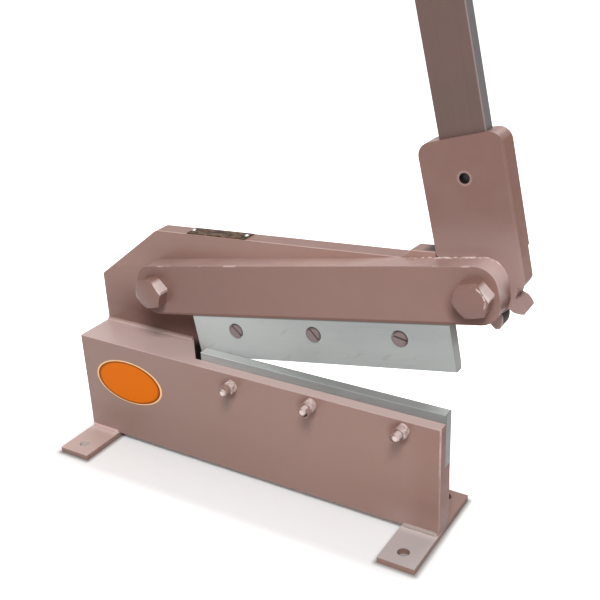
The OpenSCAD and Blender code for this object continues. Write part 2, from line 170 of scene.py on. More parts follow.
class Value:
    """A number socket of a shader, which adds Math nodes when it is used in an expression."""

    def __init__(self, nodes: "NodeTree", node: bpy.types.Node, output: int | str = 0) -> None:
        """Keeps a node's output and the tree that it belongs to."""
        self.nodes = nodes
        self.socket = node.outputs[output]

    __add__ = __radd__ = operator("ADD")
    __sub__ = operator("SUBTRACT")
    __rsub__ = operator("SUBTRACT", swapped=True)
    __mul__ = __rmul__ = operator("MULTIPLY")
    __truediv__ = operator("DIVIDE")
    __pow__ = operator("POWER")
    at_most = operator("MINIMUM")
    at_least = operator("MAXIMUM")

    def ramp(self, low: float, high: float, start: float = 0.0, end: float = 1.0) -> "Value":
        """Smooth step.

        Args:
            low: Value at which it starts.
            high: Value at which it ends.
            start: What it gives up to there.
            end: What it gives from there on.

        Returns:
            The step.
        """
        settings = {"interpolation_type": "SMOOTHSTEP", "clamp": True}
        return Value(self.nodes, self.nodes.add(
            "ShaderNodeMapRange", settings, {0: self, 1: low, 2: high, 3: start, 4: end}
        ))

    def fade(self, low: float, high: float) -> "Value":
        """Smooth step from 1 at low to 0 at high."""
        return self.ramp(low, high, 1.0, 0.0)

    def band(self, low: float, full: float, still: float, gone: float) -> "Value":
        """1 from full to still, and 0 below low and above gone."""
        return self.ramp(low, full) * self.fade(still, gone)


def distance(first: Value, second: Value) -> Value:
    """Length of a line with these two parts."""
    return (first ** 2.0 + second ** 2.0) ** 0.5


def largest(values: Sequence[Value]) -> Value:
    """The largest of several masks."""
    return reduce(Value.at_least, values)


class NodeTree:
    """A node tree that is filled by the names of nodes and sockets."""

    def __init__(self, tree: bpy.types.NodeTree) -> None:
        """Empties the tree."""
        self.tree = tree
        self.tree.nodes.clear()

    def add(self, kind: str, settings: dict[str, object], values: dict[object, object]) -> bpy.types.Node:
        """Adds a node.

        Args:
            kind: The node's type.
            settings: The node's own settings, which are set first.
            values: Numbers, vectors, colours or links by the socket's name or number.

        Returns:
            The node.
        """
        node = self.tree.nodes.new(kind)
        for key, setting in settings.items():
            setattr(node, key, setting)
        for key, value in values.items():
            self.set(node.inputs[key], value)
        return node

    def set(self, socket: bpy.types.NodeSocket, value: object) -> None:
        """Links a socket, or gives it a plain value.

        Args:
            socket: The socket.
            value: Number, vector, colour or link.
        """
        source = value.socket if isinstance(value, Value) else value
        if isinstance(source, bpy.types.NodeSocket):
            self.tree.links.new(source, socket)
        else:
            socket.default_value = source


class Graph(NodeTree):
    """A material's node tree."""

    def __init__(self, name: str) -> None:
        """Makes the material with an empty tree.

        Args:
            name: The material's name.
        """
        self.material = bpy.data.materials.new(name)
        self.material.use_nodes = True
        super().__init__(self.material.node_tree)
        self.place = self.add("ShaderNodeTexCoord", {}, {}).outputs["Object"]

    def stretched(self, scale: tuple[float, float, float], turn: float = 0.0) -> bpy.types.NodeSocket:
        """Object coordinates turned about Y and stretched.

        Args:
            scale: Factor along each axis.
            turn: Angle about Y in radians.

        Returns:
            The coordinates.
        """
        turned = self.add(
            "ShaderNodeVectorRotate", {"rotation_type": "Y_AXIS"}, {"Vector": self.place, "Angle": turn}
        )
        node = self.add("ShaderNodeVectorMath", {"operation": "MULTIPLY"}, {0: turned.outputs[0], 1: scale})
        return node.outputs[0]

    def noise(self, scale: float, detail: float = 3.0, place: bpy.types.NodeSocket | None = None,
              roughness: float = 0.5) -> Value:
        """Noise from 0 to 1.

        Args:
            scale: Lumps a metre.
            detail: Octaves.
            place: Coordinates, which are the object's unless given.
            roughness: Weight of the finer octaves.

        Returns:
            The noise.
        """
        return Value(self, self.add(
            "ShaderNodeTexNoise", {},
            {"Vector": place or self.place, "Scale": scale, "Detail": detail, "Roughness": roughness},
        ))

    def parts(self, place: bpy.types.NodeSocket | None = None) -> tuple[Value, Value, Value]:
        """X, Y and Z of the coordinates, which are the object's unless given."""
        node = self.add("ShaderNodeSeparateXYZ", {}, {0: place or self.place})
        return tuple(Value(self, node, axis) for axis in range(3))

    def blend(self, share: Number, first: object, second: object) -> bpy.types.NodeSocket:
        """Mix of two colours.

        Args:
            share: Share of the second.
            first: Colour or link.
            second: Colour or link.

        Returns:
            The mixed colour.
        """
        node = self.add("ShaderNodeMix", {"data_type": "RGBA"}, {"Factor": share})
        for name, colour in (("A", first), ("B", second)):
            self.set(next(s for s in node.inputs if s.name == name and s.type == "RGBA"), colour)
        return next(s for s in node.outputs if s.type == "RGBA")

    def bump(self, height: Value, strength: float, height_in_metres: float) -> bpy.types.NodeSocket:
        """Normal from a height of 0 to 1, which stands for this many metres."""
        values = {"Strength": strength, "Distance": height_in_metres, "Height": height}
        return self.add("ShaderNodeBump", {}, values).outputs[0]

    def surface(self, values: dict[object, object]) -> bpy.types.Material:
        """Ends the tree in one Principled shader.

        Args:
            values: The shader's sockets.

        Returns:
            The finished material.
        """
        shader = self.add("ShaderNodeBsdfPrincipled", {}, values)
        self.add("ShaderNodeOutputMaterial", {}, {"Surface": shader.outputs[0]})
        return self.material


@dataclass(frozen=True)
class Enamel:
    """Machine paint that is brushed and sprayed over everything, semi-gloss and a little uneven; its masks add dust
    with painted sheen, painted highlights and light, painted shade and painted deep shade.
    """

    name: str = "machine_enamel"
    colour: tuple[float, ...] = srgb(152, 119, 110)
    warm: tuple[float, ...] = srgb(158, 124, 114)
    cool: tuple[float, ...] = srgb(149, 121, 112)
    high: tuple[float, ...] = srgb(139, 106, 97)
    high_span: tuple[float, float] = (0.110, 0.170)
    # Colour of dust and painted sheen.
    dusty_sheen: tuple[float, ...] = srgb(196, 171, 166)
    # Colour of painted highlights and painted light.
    painted_light_colour: tuple[float, ...] = srgb(206, 180, 174)
    shaded: tuple[float, ...] = srgb(82, 54, 48)
    speck: tuple[float, ...] = srgb(120, 92, 84)
    # Colour of painted deep shade.
    deep_shade_colour: tuple[float, ...] = srgb(38, 30, 27)
    roughness: float = 0.38
    shine: float = 0.25
    coat: float = 0.08
    orange_peel: float = 0.00036
    # Masks of dust and painted sheen, of painted shade, of painted highlights and light, and of painted deep shade.
    dust_and_sheen: Mask | None = None
    shade: Mask | None = None
    painted_light: Mask | None = None
    deep_shade: Mask | None = None

    def material(self) -> bpy.types.Material:
        """Builds the material.

        Returns:
            The material.
        """
        graph = Graph(self.name)
        across, _, up = graph.parts()
        cloud = graph.noise(7.0, 2.0).ramp(0.35, 0.65)
        patch = graph.noise(34.0, 3.0).ramp(0.3, 0.75)
        tint = graph.blend(across.ramp(-0.16, 0.14) * 0.7, self.cool, self.warm)
        tint = graph.blend(cloud * 0.4, tint, self.colour)
        tint = graph.blend(up.ramp(*self.high_span) * 0.9, tint, self.high)
        tint = graph.blend(patch * 0.25, tint, self.cool)
        # Dust and painted sheen.
        if self.dust_and_sheen:
            tint = graph.blend(self.dust_and_sheen(graph), tint, self.dusty_sheen)
        specks = graph.noise(900.0, 2.0).ramp(0.66, 0.8)
        tint = graph.blend(specks * 0.10, tint, self.speck)
        strokes = graph.noise(60.0, 3.0, graph.stretched((1.0, 6.0, 7.0)))
        height = graph.noise(420.0, 2.0) * 0.45 + strokes * 0.35 + graph.noise(26.0, 2.0) * 0.9
        roughness = self.roughness + (patch - 0.5) * 0.12 + (strokes - 0.5) * 0.10
        coat: Number = self.coat
        if self.shade:
            dark = self.shade(graph)
            tint = graph.blend(dark, tint, self.shaded)
            roughness = roughness + dark * 0.25
            coat = (1.0 - dark) * coat
        # Painted highlights and painted light.
        if self.painted_light:
            tint = graph.blend(self.painted_light(graph), tint, self.painted_light_colour)
        # Painted deep shade, nearly black, in gaps and recesses.
        if self.deep_shade:
            deep_dark = self.deep_shade(graph)
            tint = graph.blend(deep_dark, tint, self.deep_shade_colour)
            roughness = roughness + deep_dark * 0.2
            coat = (1.0 - deep_dark) * coat
        return graph.surface({
            "Base Color": tint,
            "Roughness": roughness,
            "Specular IOR Level": self.shine,
            "Coat Weight": coat,
            "Coat Roughness": 0.22,
            "Normal": graph.bump(height, 0.5, self.orange_peel),
        })


def bed_dust_and_sheen(graph: Graph) -> Value:
    """Mask of dust and painted sheen on the pale top of bed plate and spacer, which fades up the weld, and of painted
    light low on the bed plate over the feet.

    Args:
        graph: The finish's node tree.

    Returns:
        The mask.
    """
    across, _, up = graph.parts()
    over_feet = across.fade(-0.172, -0.140).at_least(across.ramp(0.130, 0.168))
    return up.band(*BED_TOP, 0.1137, 0.1164).at_least(over_feet * up.fade(0.008, 0.034) * 0.24)


def foot_dust_and_sheen(graph: Graph) -> Value:
    """Mask of dust and painted sheen on the pale top of the feet, in front of the bed plate."""
    _, depth, up = graph.parts()
    return up.ramp(*FOOT_TOP) * depth.fade(*BEHIND_BED_FRONT)


def foot_painted_light(graph: Graph) -> Value:
    """Mask of painted light, the palest parts of the feet: beside the bed plate, where shade falls, and in the left
    front hole.

    Args:
        graph: The finish's node tree.

    Returns:
        The mask.
    """
    across, depth, up = graph.parts()
    beside = depth.band(-0.023, -0.013, -0.011, 0.0) * up.ramp(*FOOT_TOP) * 0.5
    hole = distance(across - LEFT_FRONT_HOLE[0], depth - LEFT_FRONT_HOLE[1]).fade(0.0058, 0.0062)
    return beside.at_least(hole * 0.9)


def foot_shade(graph: Graph) -> Value:
    """Mask of the feet's darker part behind the bed plate."""
    return graph.parts()[1].ramp(*BEHIND_BED_FRONT) * 0.42


def weld_dust_and_sheen(graph: Graph) -> Value:
    """Mask of dust and painted sheen on the beads in front of the bed plate."""
    return graph.parts()[1].fade(*BEHIND_BEADS)


def weld_shade(graph: Graph) -> Value:
    """Mask of the greyer bead at the right foot."""
    across, depth, _ = graph.parts()
    return across.ramp(-0.05, 0.05) * depth.fade(*BEHIND_BEADS) * 0.6


def strap_painted_light(graph: Graph) -> Value:
    """Mask of painted light on the strap's pale top edge and right end, palest at the right.

    Args:
        graph: The finish's node tree.

    Returns:
        The mask.
    """
    right, _, high = JAW.of_shader(graph)
    corner = distance((right - 0.335).at_least(0.0), (high - 0.006).at_least(0.0))
    lumps = graph.noise(38.0, 3.0).ramp(0.3, 0.7) * 0.12
    pale = right.ramp(0.325, 0.350) * 0.49 + 0.30 - right.band(0.10, 0.22, 0.30, 0.33) * 0.18
    return corner.ramp(0.0180, 0.0188) * high.ramp(-0.004, 0.010) * (pale + lumps)


def strap_highlights(graph: Graph) -> Value:
    """Mask of painted highlights: thin light lines along the strap's top, on the paint gathered there.

    Args:
        graph: The finish's node tree.

    Returns:
        The mask.
    """
    right, depth, high = JAW.of_shader(graph)
    spots = graph.noise(55.0, 2.0).ramp(0.56, 0.66)
    front = high.ramp(0.0236, 0.0246) * depth.fade(0.0112, 0.0128) * spots * 0.5
    lumps = graph.noise(230.0, 2.0).ramp(0.44, 0.56)
    reach = distance((right - PINION_ALONG_JAW).at_least(0.0), high)
    seam = reach.ramp(0.0236, 0.0244) * depth.ramp(0.0280, 0.0296) * right.ramp(0.262, 0.285)
    return front.at_least(seam * lumps * high.ramp(0.0, 0.01))


def strap_shade(graph: Graph) -> Value:
    """Mask of the darker left end of the strap and of the shadows left and below of both heads.

    Args:
        graph: The finish's node tree.

    Returns:
        The mask.
    """
    right, depth, high = JAW.of_shader(graph)
    front = depth.fade(*STRAP_FRONT)
    left = right.fade(0.0, 0.22) * 0.24
    below_edge = high.fade(-0.0254, -0.0236) * depth.fade(0.0125, 0.0135) * 0.6
    below_end = right.ramp(0.336, 0.344) * high.fade(-0.014, -0.002) * (1.0 - front) * 0.75
    corner = distance((right + 0.001).at_most(0.0), (high + 0.006).at_most(0.0))
    left_end = corner.ramp(0.0164, 0.0176) * high.fade(0.000, 0.010) * 0.55
    by_heads = [
        distance(right - (head - 0.007), high + 0.010).fade(0.010, 0.024) * front * 0.75
        for head in (0.0, PINION_ALONG_JAW)
    ]
    return largest([left, below_edge, below_end, left_end, *by_heads])


def bed_highlights(graph: Graph) -> Value:
    """Mask of painted highlights: light lines along the bed plate's front corner and top front edge.

    Args:
        graph: The finish's node tree.

    Returns:
        The mask.
    """
    across, depth, up = graph.parts()
    corner = across.ramp(0.1984, 0.1992) * depth.fade(-0.0106, -0.0096) * up.ramp(0.0070, 0.0100)
    top = up.ramp(0.1124, 0.1131) * depth.fade(-0.0102, -0.0094)
    rough = graph.noise(90.0, 3.0).ramp(0.3, 0.6) * 0.5 + 0.5
    return (corner * (up.ramp(0.055, 0.085) * 0.6 + 0.15)).at_least(top * 0.55) * rough


def bed_shade(graph: Graph) -> Value:
    """Mask of the darker right end of the bed plate and of the shadows round the nuts.

    Args:
        graph: The finish's node tree.

    Returns:
        The mask.
    """
    across, depth, up = graph.parts()
    front = depth.fade(-0.0108, -0.0102)
    end = across.ramp(0.1992, 0.1998) * depth.ramp(-0.0102, -0.0094) * (up.ramp(0.015, 0.075) * 0.30 + 0.46)
    by_nuts = [
        distance(across - (x - 0.004), up - (z - 0.004)).fade(0.0055, 0.0135) * front * 0.5 for x, z in STUDS
    ]
    return largest([end, across.ramp(0.165, 0.190) * front * 0.13, *by_nuts])


def casting_pale_low(graph: Graph) -> Value:
    """Mask of the socket's paler front, low over the strap."""
    _, depth, high = LEVER.of_shader(graph)
    return high.fade(0.020, 0.062) * depth.fade(*SOCKET_FRONT) * 0.22


def casting_shade(graph: Graph) -> Value:
    """Mask of the socket's darker right side, without its top.

    Args:
        graph: The finish's node tree.

    Returns:
        The mask.
    """
    right, depth, high = LEVER.of_shader(graph)
    side = right.ramp(0.0195, 0.0215) * high.fade(0.112, 0.118).at_least(right.ramp(0.0318, 0.0328))
    return side * depth.band(*SOCKET_FRONT, 0.0528, 0.0538) * high.ramp(-0.014, -0.010) * 0.50


def casting_highlight_and_ring(graph: Graph) -> Value:
    """Mask of the painted highlight along the socket's front right edge, and of a paler ring round the set screw's
    hole.

    Args:
        graph: The finish's node tree.

    Returns:
        The mask.
    """
    right, depth, high = LEVER.of_shader(graph)
    rough = graph.noise(70.0, 3.0).ramp(0.35, 0.65) * 0.6 + 0.4
    edge = right.band(0.0303, 0.0311, 0.0318, 0.0324) * depth.fade(0.0340, 0.0352)
    reach = distance(right - SET_SCREW[0], high - SET_SCREW[1])
    ring = reach.band(0.0042, 0.0048, 0.0054, 0.0068) * depth.fade(0.0332, 0.0340)
    return (edge * high.ramp(0.0, 0.02) * rough * 0.06).at_least(ring * 0.25)


def fastener_highlights(graph: Graph) -> Value:
    """Mask of painted highlights on the bright upper right flats of heads, nuts and studs.

    Args:
        graph: The finish's node tree.

    Returns:
        The mask.
    """
    across, depth, up = graph.parts()
    lean = math.radians(35.0)

    def toward(x: float, z: float) -> Value:
        """Distance from a screw's axis to the upper right."""
        return (across - x) * math.cos(lean) + (up - z) * math.sin(lean)

    def round_axis(x: float, z: float, reach: float) -> Value:
        """1 within reach of a screw's axis."""
        return distance(across - x, up - z).fade(reach, reach + 0.001)

    lumps = graph.noise(420.0, 2.0).ramp(0.40, 0.58)
    arc = round_axis(PINION.x, PINION.z, 0.0126) - round_axis(PINION.x, PINION.z, 0.0114)
    painted_light = [arc * toward(PINION.x, PINION.z).ramp(0.006, 0.010) * lumps * 0.8]
    for bolt in (PIVOT, PINION):
        painted_light.append(toward(bolt.x, bolt.z).ramp(0.0128, 0.0138) * round_axis(bolt.x, bolt.z, 0.018) * 0.7)
    for x, z in STUDS:
        tip = depth.fade(-0.0256, -0.0252) * round_axis(x, z, 0.0020) * 0.9
        stud = toward(x, z).ramp(0.0008, 0.0030) * depth.fade(-0.0202, -0.0196) * 0.65
        nut = toward(x, z).ramp(0.0010, 0.0050) * depth.ramp(-0.0196, -0.0190) * (lumps * 0.35 + 0.35)
        painted_light.append(largest([tip, stud, nut]) * round_axis(x, z, 0.0085))
    return largest(painted_light)


def fastener_shade(graph: Graph) -> Value:
    """Mask of the dark lower left flats of the nuts and of the rings where studs leave them.

    Args:
        graph: The finish's node tree.

    Returns:
        The mask.
    """
    across, depth, up = graph.parts()
    shade = []
    for x, z in STUDS:
        reach = distance(across - x, up - z)
        ring = reach.fade(0.0044, 0.0052) * depth.band(-0.0204, -0.0200, -0.0188, -0.0184)
        lower = (x - across + z - up).ramp(0.0040, 0.0075) * depth.ramp(-0.0192, -0.0186)
        shade.append((ring * 0.75).at_least(lower * 0.45) * reach.fade(0.0085, 0.0095))
    return largest(shade)


def screw_shade(graph: Graph) -> Value:
    """Mask of the dark upper rims of the upper blade's screws, in their countersinks.

    Args:
        graph: The finish's node tree.

    Returns:
        The mask.
    """
    right, _, high = JAW.of_shader(graph)
    shade = []
    for along in BLADE_SCREWS:
        side = (right - along + high - BLADE_SCREW_HEIGHT).ramp(-0.006, 0.004)
        rim = distance(right - along, high - BLADE_SCREW_HEIGHT).band(0.0046, 0.0070, 0.0095, 0.0105)
        shade.append(rim * side * 0.85)
    return largest(shade)


def gap_painted_shade(graph: Graph) -> Value:
    """Mask of the painted black shade in the gap beside the spacer's slanted end.

    Args:
        graph: The finish's node tree.

    Returns:
        The mask.
    """
    across, depth, up = graph.parts()
    beside = across.band(-0.0890, -0.0875, -0.0560, -0.0535)
    return beside * depth.ramp(-0.0004, 0.0004) * up.band(*GAP_FLOOR, 0.1050, 0.1124)


def column_painted_shade(graph: Graph) -> Value:
    """Mask of the painted shade low on the frame plate's front, behind that gap, and of the painted shadow on the
    horn's end.

    Args:
        graph: The finish's node tree.

    Returns:
        The mask.
    """
    across, depth, up = graph.parts()
    gap = across.ramp(-0.0900, -0.0840) * up.band(*GAP_FLOOR, 0.1060, 0.1160) * depth.fade(*COLUMN_FRONT)
    right, _, along = LEVER.of_shader(graph)
    horn = right.band(-0.055, -0.045, -0.020, -0.010) * along.ramp(0.022, 0.026) * depth.ramp(0.0338, 0.0385)
    return gap.at_least(horn * 0.92)


def column_shade(graph: Graph) -> Value:
    """Mask of the frame plate's dark part under the strap, darkest to the right, and of its edges.

    Args:
        graph: The finish's node tree.

    Returns:
        The mask.
    """
    across, depth, up = graph.parts()
    low = up.fade(0.122, 0.182) * (up.ramp(0.116, 0.138) * 0.45 + 0.55)
    front = low * (across.ramp(-0.215, -0.120) * 0.75 + 0.22) * across.fade(0.0, 0.05) * depth.fade(*COLUMN_FRONT)
    return front.at_least(depth.band(0.0338, 0.0352, 0.0505, 0.0514) * 0.32)


def column_painted_light(graph: Graph) -> Value:
    """Mask of painted light on the paler part of the frame plate's front, above the strap.

    Args:
        graph: The finish's node tree.

    Returns:
        The mask.
    """
    right, depth, high = JAW.of_shader(graph)
    near = high.band(0.015, 0.020, 0.024, 0.050) * (right.ramp(0.02, 0.14) * 0.55 + 0.15)
    return near * depth.fade(0.0338, 0.0345)


def column_edge_highlight(graph: Graph) -> Value:
    """Mask of the painted highlight, a thin light line along the frame plate's top front edge.

    Args:
        graph: The finish's node tree.

    Returns:
        The mask.
    """
    _, depth, up = graph.parts()
    lumps = graph.noise(60.0, 2.0).ramp(0.3, 0.6) * 0.5 + 0.5
    return depth.band(0.0329, 0.0334, 0.0342, 0.0352) * up.ramp(0.205, 0.215) * lumps * 0.30


def pinion_painted_shade(graph: Graph) -> Value:
    """Mask of the painted black shade in the set screw's hole and on the pinion's lower teeth.

    Args:
        graph: The finish's node tree.

    Returns:
        The mask.
    """
    side, _, along = LEVER.of_shader(graph)
    hole = distance(side - SET_SCREW[0], along - SET_SCREW[1]).fade(0.0043, 0.0046)
    across, depth, up = graph.parts()
    reach = distance(across - PINION.x, up - PINION.z)
    teeth = reach.fade(0.0355, 0.0370) * (up - PINION.z).fade(-0.0175, -0.0150)
    return hole.at_least(teeth * depth.band(0.0355, 0.0368, 0.0505, 0.0512))


@dataclass(frozen=True)
class GroundSteel:
    """Tool steel ground along its length, with fine lines and faint cloudy marks, painted light towards its left end
    and painted shade where a mask is given.
    """

    name: str
    turn: float
    colour: tuple[float, ...] = srgb(172, 176, 174)
    dull: tuple[float, ...] = srgb(152, 157, 156)
    dark: tuple[float, ...] = srgb(112, 118, 120)
    # Colour of the painted light towards the left end, by the share in fade.
    light: tuple[float, ...] = srgb(200, 203, 201)
    scuffed: tuple[float, ...] = srgb(120, 120, 118)
    fade: float = 0.0
    metal: float = 0.6
    roughness: float = 0.42
    shade: Mask | None = None

    def material(self) -> bpy.types.Material:
        """Builds the material.

        Returns:
            The material.
        """
        graph = Graph(self.name)
        lines = graph.noise(240.0, 4.0, graph.stretched((0.06, 8.0, 4.0), self.turn), 0.65)
        cloud = graph.noise(22.0, 4.0, graph.stretched((0.7, 1.0, 1.5), self.turn)).ramp(0.35, 0.7)
        scuffs = graph.noise(120.0, 3.0, graph.stretched((0.3, 1.0, 1.6), self.turn + 0.5)).ramp(0.62, 0.72)
        tint = graph.blend(cloud * 0.4, self.colour, self.dull)
        tint = graph.blend(lines.ramp(0.4, 0.7) * 0.25, tint, self.dull)
        # Painted light towards the left end.
        tint = graph.blend(graph.parts()[0].fade(-0.09, 0.10) * self.fade, tint, self.light)
        tint = graph.blend(scuffs * 0.22, tint, self.scuffed)
        metal: Number = self.metal
        if self.shade:
            dark = self.shade(graph)
            tint = graph.blend(dark, tint, self.dark)
            metal = (1.0 - dark) * metal
        return graph.surface({
            "Base Color": tint,
            "Metallic": metal,
            "Roughness": self.roughness + cloud * 0.10 + (lines - 0.5) * 0.2,
            "Normal": graph.bump(lines, 0.25, 0.00006),
        })


def lower_blade_shade(graph: Graph) -> Value:
    """Mask of the lower blade's darker front and right end.

    Args:
        graph: The finish's node tree.

    Returns:
        The mask.
    """
    across, _, up = graph.parts()
    front = up.fade(0.1215, 0.1220) * (up.ramp(0.1150, 0.1210) * 0.22 + 0.42)
    return front.at_least(across.ramp(0.1990, 0.1996) * 0.97)


def upper_blade_shade(graph: Graph) -> Value:
    """Mask of the upper blade's darker right end and of the dark line under the strap.

    Args:
        graph: The finish's node tree.

    Returns:
        The mask.
    """
    right, _, high = JAW.of_shader(graph)
    end = right.ramp(0.3075, 0.3085) * (high.ramp(-0.052, -0.030) * 0.42 + 0.34)
    return end.at_least(high.ramp(-0.0266, -0.0256) * 0.85)


@dataclass(frozen=True)
class TurnedSteel:
    """Bright steel of sleeves, washers and rivets."""

    name: str = "turned_steel"
    light: tuple[float, ...] = srgb(196, 196, 192)
    dark: tuple[float, ...] = srgb(168, 166, 160)

    def material(self) -> bpy.types.Material:
        """Builds the material.

        Returns:
            The material.
        """
        graph = Graph(self.name)
        cloud = graph.noise(180.0, 3.0)
        return graph.surface({
            "Base Color": graph.blend(cloud, self.light, self.dark),
            "Metallic": 0.95,
            "Roughness": 0.28 + cloud * 0.16,
            "Normal": graph.bump(graph.noise(900.0, 2.0), 0.2, 0.00004),
        })


@dataclass(frozen=True)
class LeverPaint:
    """Thin dark coat of the drawn lever bar, with a painted highlight along its front right edge, painted shade on its
    right side and black painted shade in the socket.
    """

    name: str = "lever_paint"
    colour: tuple[float, ...] = srgb(98, 80, 73)
    warm: tuple[float, ...] = srgb(106, 82, 77)
    cool: tuple[float, ...] = srgb(91, 75, 67)
    # Colour of the painted shade on the right side.
    side: tuple[float, ...] = srgb(88, 82, 82)
    # Colour of the painted highlight along the front right edge.
    rubbed: tuple[float, ...] = srgb(206, 198, 201)
    # Colour of the painted black shade inside the socket.
    socket_shade_colour: tuple[float, ...] = srgb(30, 22, 20)

    def material(self) -> bpy.types.Material:
        """Builds the material.

        Returns:
            The material.
        """
        graph = Graph(self.name)
        drawn = graph.noise(160.0, 3.0, graph.stretched((4.0, 4.0, 0.08), LEVER.lean))
        tint = graph.blend(graph.parts()[2].ramp(0.40, 0.74), self.warm, self.cool)
        tint = graph.blend(graph.noise(14.0, 2.0).ramp(0.35, 0.65) * 0.5, tint, self.colour)
        tint = graph.blend(drawn.ramp(0.35, 0.7) * 0.25, tint, self.cool)
        right, depth, high = LEVER.of_shader(graph)
        # Painted highlight along the front right edge.
        edge = right.band(0.0182, 0.0190, 0.0198, 0.0201) * depth.fade(0.0398, 0.0414) * 0.26
        tint = graph.blend(edge, tint, self.rubbed)
        # Painted shade on the right side.
        tint = graph.blend(right.ramp(0.0197, 0.0200), tint, self.side)
        # Painted black shade inside the socket.
        tint = graph.blend(high.fade(0.100, 0.104), tint, self.socket_shade_colour)
        return graph.surface({
            "Base Color": tint,
            "Roughness": 0.44 + (drawn - 0.5) * 0.3,
            "Specular IOR Level": 0.3,
            "Coat Weight": 0.05,
            "Coat Roughness": 0.3,
            "Normal": graph.bump(drawn * 0.6 + graph.noise(380.0, 2.0) * 0.5, 0.4, 0.00016),
        })


@dataclass(frozen=True)
class AgedBrass:
    """Darkened thin brass of the bare name plate."""

    name: str = "aged_brass"
    brown: tuple[float, ...] = srgb(88, 56, 30)
    black: tuple[float, ...] = srgb(22, 13, 8)
    bright: tuple[float, ...] = srgb(176, 138, 88)

    def material(self) -> bpy.types.Material:
        """Builds the material.

        Returns:
            The material.
        """
        graph = Graph(self.name)
        stain = graph.noise(150.0, 4.0, graph.stretched((1.0, 1.6, 1.0))).ramp(0.35, 0.65)
        rubbed = graph.noise(420.0, 3.0, graph.stretched((0.4, 1.0, 1.0))).ramp(0.55, 0.75)
        tint = graph.blend(stain, self.brown, self.black)
        return graph.surface({
            "Base Color": graph.blend(rubbed * 0.5, tint, self.bright),
            "Metallic": 0.9,
            "Roughness": 0.42 + stain * 0.2,
            "Normal": graph.bump(stain * 0.5 + rubbed * 0.5, 0.3, 0.0001),
        })


@dataclass(frozen=True)
class OvalLabel:
    """Printed film of the bare oval label: an orange field, a darker line and a pale rim."""

    centre: Vector
    half_width: float
    half_height: float
    name: str = "oval_label_film"
    orange: tuple[float, ...] = srgb(230, 116, 0)
    deep_orange: tuple[float, ...] = srgb(218, 104, 0)
    line: tuple[float, ...] = srgb(112, 44, 2)
    rim: tuple[float, ...] = srgb(250, 206, 156)
    line_from: float = 0.84
    rim_at: float = 0.95
    rim_softness: float = 0.008

    def material(self) -> bpy.types.Material:
        """Builds the material.

        Returns:
            The material.
        """
        graph = Graph(self.name)
        across, _, up = graph.parts()
        reach = distance((across - self.centre.x) / self.half_width, (up - self.centre.z) / self.half_height)
        grain = graph.noise(1500.0, 2.0).ramp(0.3, 0.7)
        tint = graph.blend(grain * 0.5, self.orange, self.deep_orange)
        tint = graph.blend(reach.ramp(self.line_from, self.rim_at), tint, self.line)
        rim = reach.ramp(self.rim_at - self.rim_softness, self.rim_at + self.rim_softness)
        return graph.surface({
            "Base Color": graph.blend(rim, tint, self.rim),
            "Roughness": 0.45 + grain * 0.08,
            "Specular IOR Level": 0.1,
            "Normal": graph.bump(grain, 0.1, 0.00003),
        })


@dataclass(frozen=True)
class EdgeFacts:
    """What the choice of an edge's rounding may look at."""

    middle: Vector
    direction: Vector
    turn: float
    convex: bool

    def runs_along(self, axis: int) -> bool:
        """Whether the edge runs nearly along an axis of the machine."""
        least_share = 0.9
        return abs(self.direction[axis]) > least_share


@dataclass
class Rounding:
    """How a solid's edges are rounded."""

    widest: float
    segments: int = 3
    width: Width | None = None
    least_turn: float = math.radians(28.0)
    merge: float = 0.08 * MM
    room: float = 0.9
    rounds: int = 400

    def of(self, facts: EdgeFacts) -> float:
        """Width for one edge, in metres."""
        if facts.turn < self.least_turn or not facts.convex:
            return 0.0
        return self.width(facts) if self.width else self.widest

    def widths(self, work: bmesh.types.BMesh) -> dict[bmesh.types.BMEdge, float]:
        """Width for each edge that is rounded, less where the edges have no room.

        Args:
            work: The solid, with its flat faces merged.

        Returns:
            The widths, in metres.
        """
        runs: dict[bmesh.types.BMEdge, EdgeRun] = {}
        for edge in work.edges:
            start, end = (vert.co for vert in edge.verts)
            facts = EdgeFacts(
                (start + end) / 2, (end - start).normalized(), edge.calc_face_angle(0.0), edge.is_convex
            )
            width = min(self.of(facts), self.widest)
            if width > 0:
                runs[edge] = EdgeRun([edge], width)
        corners = {loop for edge in runs for vert in edge.verts for loop in vert.link_loops}
        sides = [EdgeSide.of(loop) for loop in corners if not EdgeSide.is_flat(loop.edge)]
        for side in sides:
            for other in side.smooth_neighbours():
                if side.edge in runs and other in runs:
                    runs[side.edge].join(runs[other], runs)
        for _ in range(self.rounds):
            if not any([side.narrow(runs, self.room) for side in sides]):
                break
        return {edge: run.width for edge, run in runs.items()}


@dataclass(eq=False)
class EdgeRun:
    """Edges that follow one another smoothly and share one width."""

    edges: list[bmesh.types.BMEdge]
    width: float

    def join(self, other: "EdgeRun", runs: dict[bmesh.types.BMEdge, "EdgeRun"]) -> None:
        """Takes another run's edges, at the smaller width of the two.

        Args:
            other: The other run.
            runs: The run of each rounded edge, which is kept up to date.
        """
        if other is self:
            return
        self.width = min(self.width, other.width)
        self.edges.extend(other.edges)
        for edge in other.edges:
            runs[edge] = self


